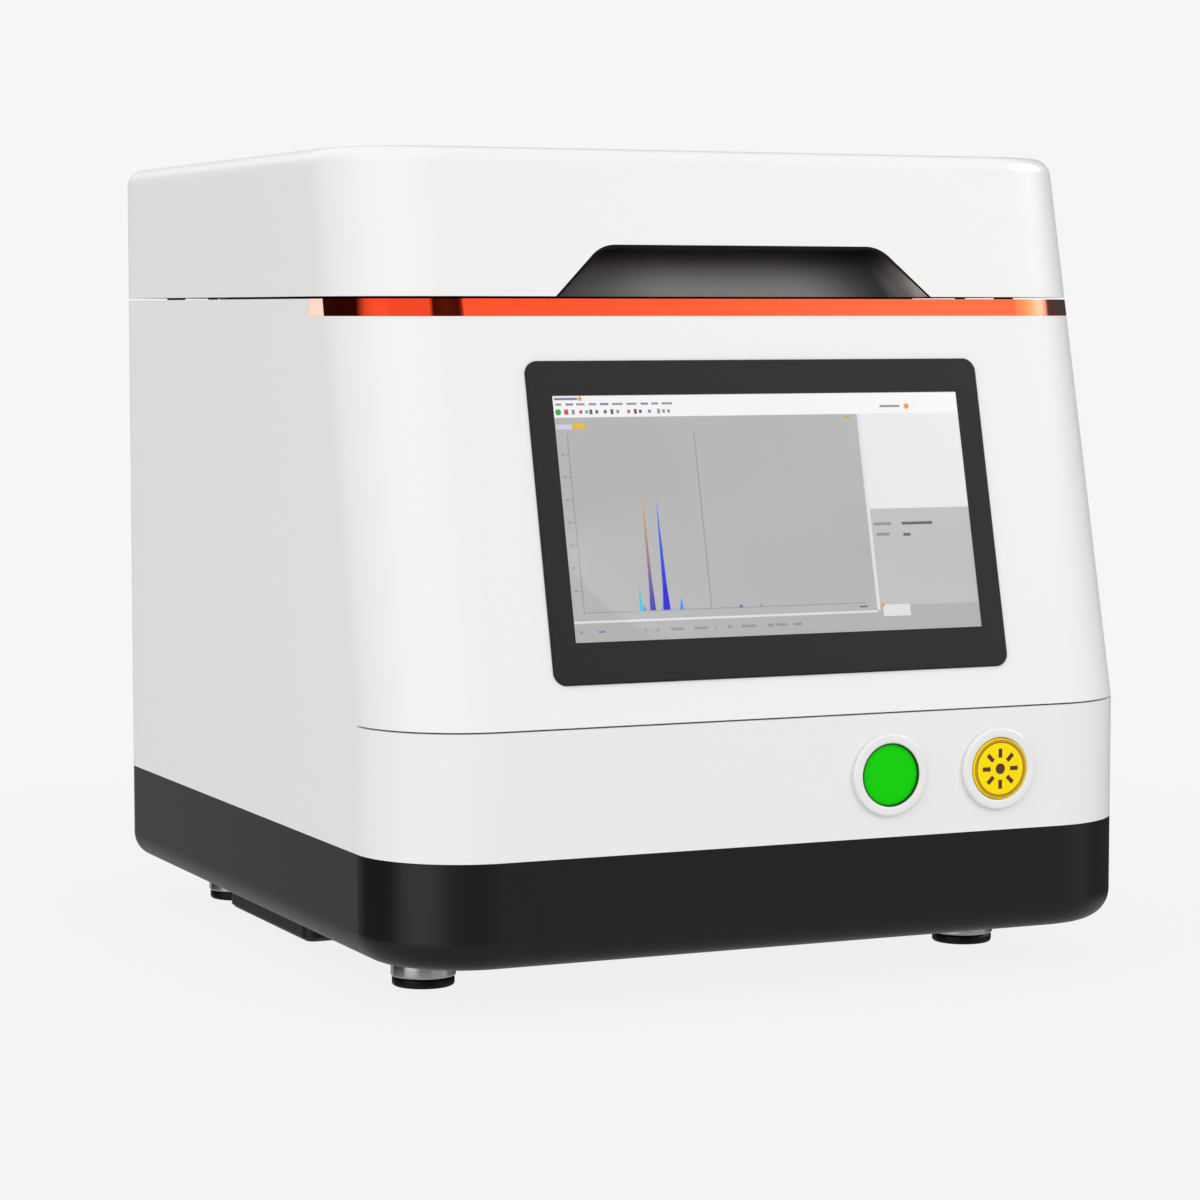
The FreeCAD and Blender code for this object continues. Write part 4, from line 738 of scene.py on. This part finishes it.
# Painted shade and light, one fade at a time.
faded(cup_paint_painted_shade, "#757574", along(cup_paint_painted_shade, (-1, 0, 0), 0.028, 0.076))
faded(cup_paint_painted_shade, "#686867", along(cup_paint_painted_shade, slant, slant_low + 0.040, slant_low + 0.088))
faded(cup_paint_painted_shade, "#E6E3DF", along(cup_paint_painted_shade, slant, slant_low + 0.088, slant_low + 0.098))
faded(cup_paint_painted_shade, "#080808", along(cup_paint_painted_shade, (0, 0, 1), cup_low.z - 1 * mm, cup_high.z))
coat(cup_paint_painted_shade, "handle_cup")

# Painted shade: a flat black line round the recess, on its faces at the front of the lid.
recess_edge_shade = finish_of("black recess edge as painted shade", "#060606", "#0B0B0B", 0.8, 0.5, Specular_IOR_Level=0.1)
cup_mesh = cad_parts["handle_cup"].data
cup_mesh.materials.append(recess_edge_shade)
# Front faces near the lid front take the black painted shade.
for face in cup_mesh.polygons:
    if face.normal.y < -0.9 and face.center.y < cup_low.y + edge_shade_depth:
        face.material_index = 1

# Deck, well and stage: a steel deck plate screwed down on the housing, a well folded from
# stainless sheet, and a machined stage with a window ring that holds down a thin film.

# Powder coat: a light grey with a fine orange-peel grain and a soft shine.
deck_coat = finish_of("fine grey powder coat", "#B4B6B8", "#BFC1C3", 0.6, 0.5, bump_mm=0.03)

# Brushed stainless: long fine lines that stretch every reflection across the sheet.
brushed_sheet = finish_of("brushed stainless sheet", "#B0B0B0", "#C4C4C4", 0.35, 0.3, spread=0.07,
                          stretch=(1, 0.008, 1), Metallic=1.0)

# Machined aluminium: bright, with short tool marks along the cut.
machined = finish_of("machined aluminium", "#B9BABC", "#CBCCCE", 0.8, 0.3, spread=0.06,
                     stretch=(1, 0.1, 1), Metallic=1.0)

# Polyimide film: clear amber with a smooth face, so the ring shows through it.
film = finish_of("amber polyimide film", "#C98A1E", "#D49A2C", 5, 0.12, Transmission_Weight=0.7, IOR=1.5)

coat(deck_coat, "top_deck")
coat(brushed_sheet, "sample_well")
coat(machined, "stage_plate", "window_ring", "optics_block", "collimator_wheel", "pulse_processor")
coat(film, "window_film")

# Lid inside: a liner plate screwed up into the lid over the folded shield pan, a gasket and
# bumpers pushed into it, and a magnet that the sensor under the deck reads.

# Powder coat: a dull dark grey, so the well looks bright below it.
liner_coat = finish_of("dark grey powder coat", "#6E7073", "#7C7E81", 0.6, 0.5, bump_mm=0.03)

# Extruded rubber: plain black with a faint shine on its round edges.
seal_rubber = finish_of("extruded black rubber", "#101010", "#181818", 0.7, 0.55, bump_mm=0.02)

# Nickel plate: a warm, clear mirror that is hardly blurred.
plated = finish_of("nickel plate", "#B4B2AC", "#C4C2BC", 2.0, 0.2, Metallic=1.0)

coat(liner_coat, "lid_liner", "shield_pan")
coat(seal_rubber, "lid_gasket", "lid_bumpers")
coat(plated, "interlock_magnet")

# Inner modules: tube, detector and motor in drawn steel cans, sensors and switches in moulded
# plastic, supplies in folded sheet covers, and circuit boards, all screwed to the chassis.

# Drawn steel can: a satin grey with lines along the can.
module_steel = finish_of("satin steel can", "#9C9C9C", "#B2B2B2", 0.8, 0.35, spread=0.08,
                         stretch=(0.05, 1, 0.05), Metallic=1.0)

# Zinc-plated sheet: a pale bluish metal with large soft blotches.
zinc_sheet = finish_of("zinc-plated sheet", "#A9ABAC", "#C2C4C5", 6.0, 0.35, Metallic=1.0)

# Glass-filled plastic: a slightly rough black.
module_plastic = finish_of("black glass-filled plastic", "#121212", "#1C1C1C", 0.9, 0.5, bump_mm=0.02)

# Solder lacquer: a deep green with a wet shine.
board_lacquer = finish_of("green circuit board lacquer", "#0F5A30", "#16683A", 2.5, 0.3)

# Powder coat: a light grey, paler than the deck's.
supply_coat = finish_of("light grey powder coat", "#C6C7C8", "#D0D1D2", 0.6, 0.5, bump_mm=0.03)

# Plated brass: small gold-coloured glints inside the mains inlet.
contact_metal = finish_of("plated brass contact", "#B8963E", "#D0B25A", 1.0, 0.25, Metallic=1.0)

coat(module_steel, "xray_tube", "detector", "wheel_motor")
coat(zinc_sheet, "chassis_plate", "power_supply", "display_bracket")
coat(module_plastic, "interlock_sensor", "sample_camera", "start_switch", "xray_switch", "button_nuts")
coat(board_lacquer, "main_board", "io_board")
coat(supply_coat, "hv_supply")
coat(contact_metal, "inlet_pins")

# Rear: a folded steel panel in the supplies' light grey coat, with a moulded fan behind its
# grille, a mains inlet with a rocker switch, and sockets with plated shells. The shells are
# plated only at their rims, and the contact blocks deep inside are black plastic.
rim_depth = 0.4 * mm
coat(supply_coat, "rear_panel")
coat(module_plastic, "fan_frame", "fan_rotor", "power_inlet", "power_rocker")
coat(plated, "io_ports")
socket_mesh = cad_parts["io_ports"].data
socket_mesh.materials.append(module_plastic)
socket_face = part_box("io_ports")[1].y - rim_depth
for face in socket_mesh.polygons:
    if face.center.y < socket_face:
        face.material_index = 1

# Marks of the power rocker: a bar for on and a ring for off, pad printed on its two slanted
# faces. The ink is thin and follows each face.

# White printing ink: a clear, flat mark on the black rocker.
switch_ink = finish_of("white pad print", "#DADAD8", "#E2E2E0", 1.5, 0.55)
mark_height, mark_stroke, ink_proud = 3.4, 0.75, 0.05
smallest_face = 3 * mm * mm
rocker_faces = [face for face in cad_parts["power_rocker"].data.polygons
                if face.normal.y > 0.9 and face.area > smallest_face]
bm = bmesh.new()
for slanted in (True, False):
    side = [face for face in rocker_faces if (face.normal.z < -0.1) == slanted]
    area = sum(face.area for face in side)
    middle = sum((face.center * face.area for face in side), Vector()) / area
    place = Matrix.Translation(middle) @ side[0].normal.to_track_quat("Z", "Y").to_matrix().to_4x4()
    if slanted:
        slab(bm, (-mark_stroke / 2, mark_stroke / 2), (-mark_height / 2, mark_height / 2),
             (-ink_proud, ink_proud), place)
    else:
        outer, inner = mark_height / 2, mark_height / 2 - mark_stroke * 0.7
        turned(bm, [(inner, -ink_proud), (outer, -ink_proud), (outer, ink_proud), (inner, ink_proud),
                    (inner, -ink_proud)], place, turn_steps // 2)
marks = smooth(new_piece("rocker_marks", bm, switch_ink))
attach(marks, "rocker")

# Hinges: two torque hinges with leaves stamped from stainless sheet and rolled round turned
# pins. The leaves are screwed to the back of the housing and of the lid.

# Brushed stainless: a calm mid grey with fine lines across the leaves.
hinge_steel = finish_of("brushed stainless hinge", "#ACACAB", "#B2B2B1", 0.25, 0.32, spread=0.03,
                        stretch=(0.02, 1, 1), Metallic=1.0)
coat(hinge_steel, "hinge_leaves_lower", "hinge_leaves_upper", "hinge_pins")

# Screws: zinc-plated pan heads, M3 in the panels and hinges and M5 up through the feet.
# Each is cold-headed with a round top and a hexagon socket pressed into it.

# Bright zinc: small cool glints on the round tops.
screw_zinc = finish_of("bright zinc plate", "#B0B2B4", "#CACCCE", 0.6, 0.25, Metallic=1.0)
socket_share, socket_floor = 0.45, 0.35
screw_steps = 18


def screw_tops(node, axis, apart):
    """The middle of each screw head's top, from the groups of points of a CAD node."""
    groups = []
    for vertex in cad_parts[node].data.vertices:
        level = vertex.co.dot(axis)
        flat = vertex.co - axis * level
        near = [group for group in groups if (flat - group[0][0]).length < apart]
        if near:
            near[0].append((flat, level))
        else:
            groups.append([(flat, level)])
    tops = []
    for group in groups:
        low = Vector([min(flat[i] for flat, level in group) for i in range(3)])
        high = Vector([max(flat[i] for flat, level in group) for i in range(3)])
        tops.append((low + high) / 2 + axis * max(level for flat, level in group))
    return tops


def pan_screw(bm, top, axis, shank, grip, head, height):
    """One screw, turned, whose round socket is then pushed out to a hexagon."""
    place = Matrix.Translation(top - axis * height * mm) @ axis.to_track_quat("Z", "Y").to_matrix().to_4x4()
    corner = head * socket_share
    floor_level = height * socket_floor
    before = len(bm.verts)
    turned(bm, [(0, -grip), (shank, -grip), (shank, 0), (head, 0), (head, height * 0.4),
                (head * 0.92, height * 0.76), (head * 0.72, height), (corner, height), (corner, floor_level),
                (0, floor_level)], place, screw_steps)
    bm.verts.ensure_lookup_table()
    back = place.inverted()
    for vertex in bm.verts[before:]:
        local = back @ vertex.co
        reach = math.hypot(local.x, local.y)
        if abs(reach - corner * mm) < 0.01 * mm and local.z > 0:
            turned_by = math.atan2(local.y, local.x) % (math.pi / 3) - math.pi / 6
            share = math.cos(math.pi / 6) / math.cos(turned_by)
            vertex.co = place @ Vector((local.x * share, local.y * share, local.z))


up, down, rearward = Vector((0, 0, 1)), Vector((0, 0, -1)), Vector((0, 1, 0))
m3, m5 = (2.9, 1.6), (4.75, 2.6)
screw_groups = [
    ("foot_screws", down, 2.5, 22.0, m5, "case"),
    ("deck_screws", up, 1.5, 10.0, m3, "case"),
    ("rear_screws", rearward, 1.5, 8.0, m3, "case"),
    ("hinge_screws_lower", rearward, 1.5, 8.0, m3, "case"),
    ("hinge_screws_upper", rearward, 1.5, 8.0, m3, "lid"),
    ("lid_screws", down, 1.5, 12.0, m3, "lid"),
]
for node, axis, shank, grip, (head, height), body in screw_groups:
    bm = bmesh.new()
    for top in screw_tops(node, axis, head * 3 * mm):
        pan_screw(bm, top, axis, shank, grip, head, height)
    screws = smooth(new_piece("pan_head_" + node, bm, screw_zinc), 30)
    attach(screws, body)
    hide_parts(node)
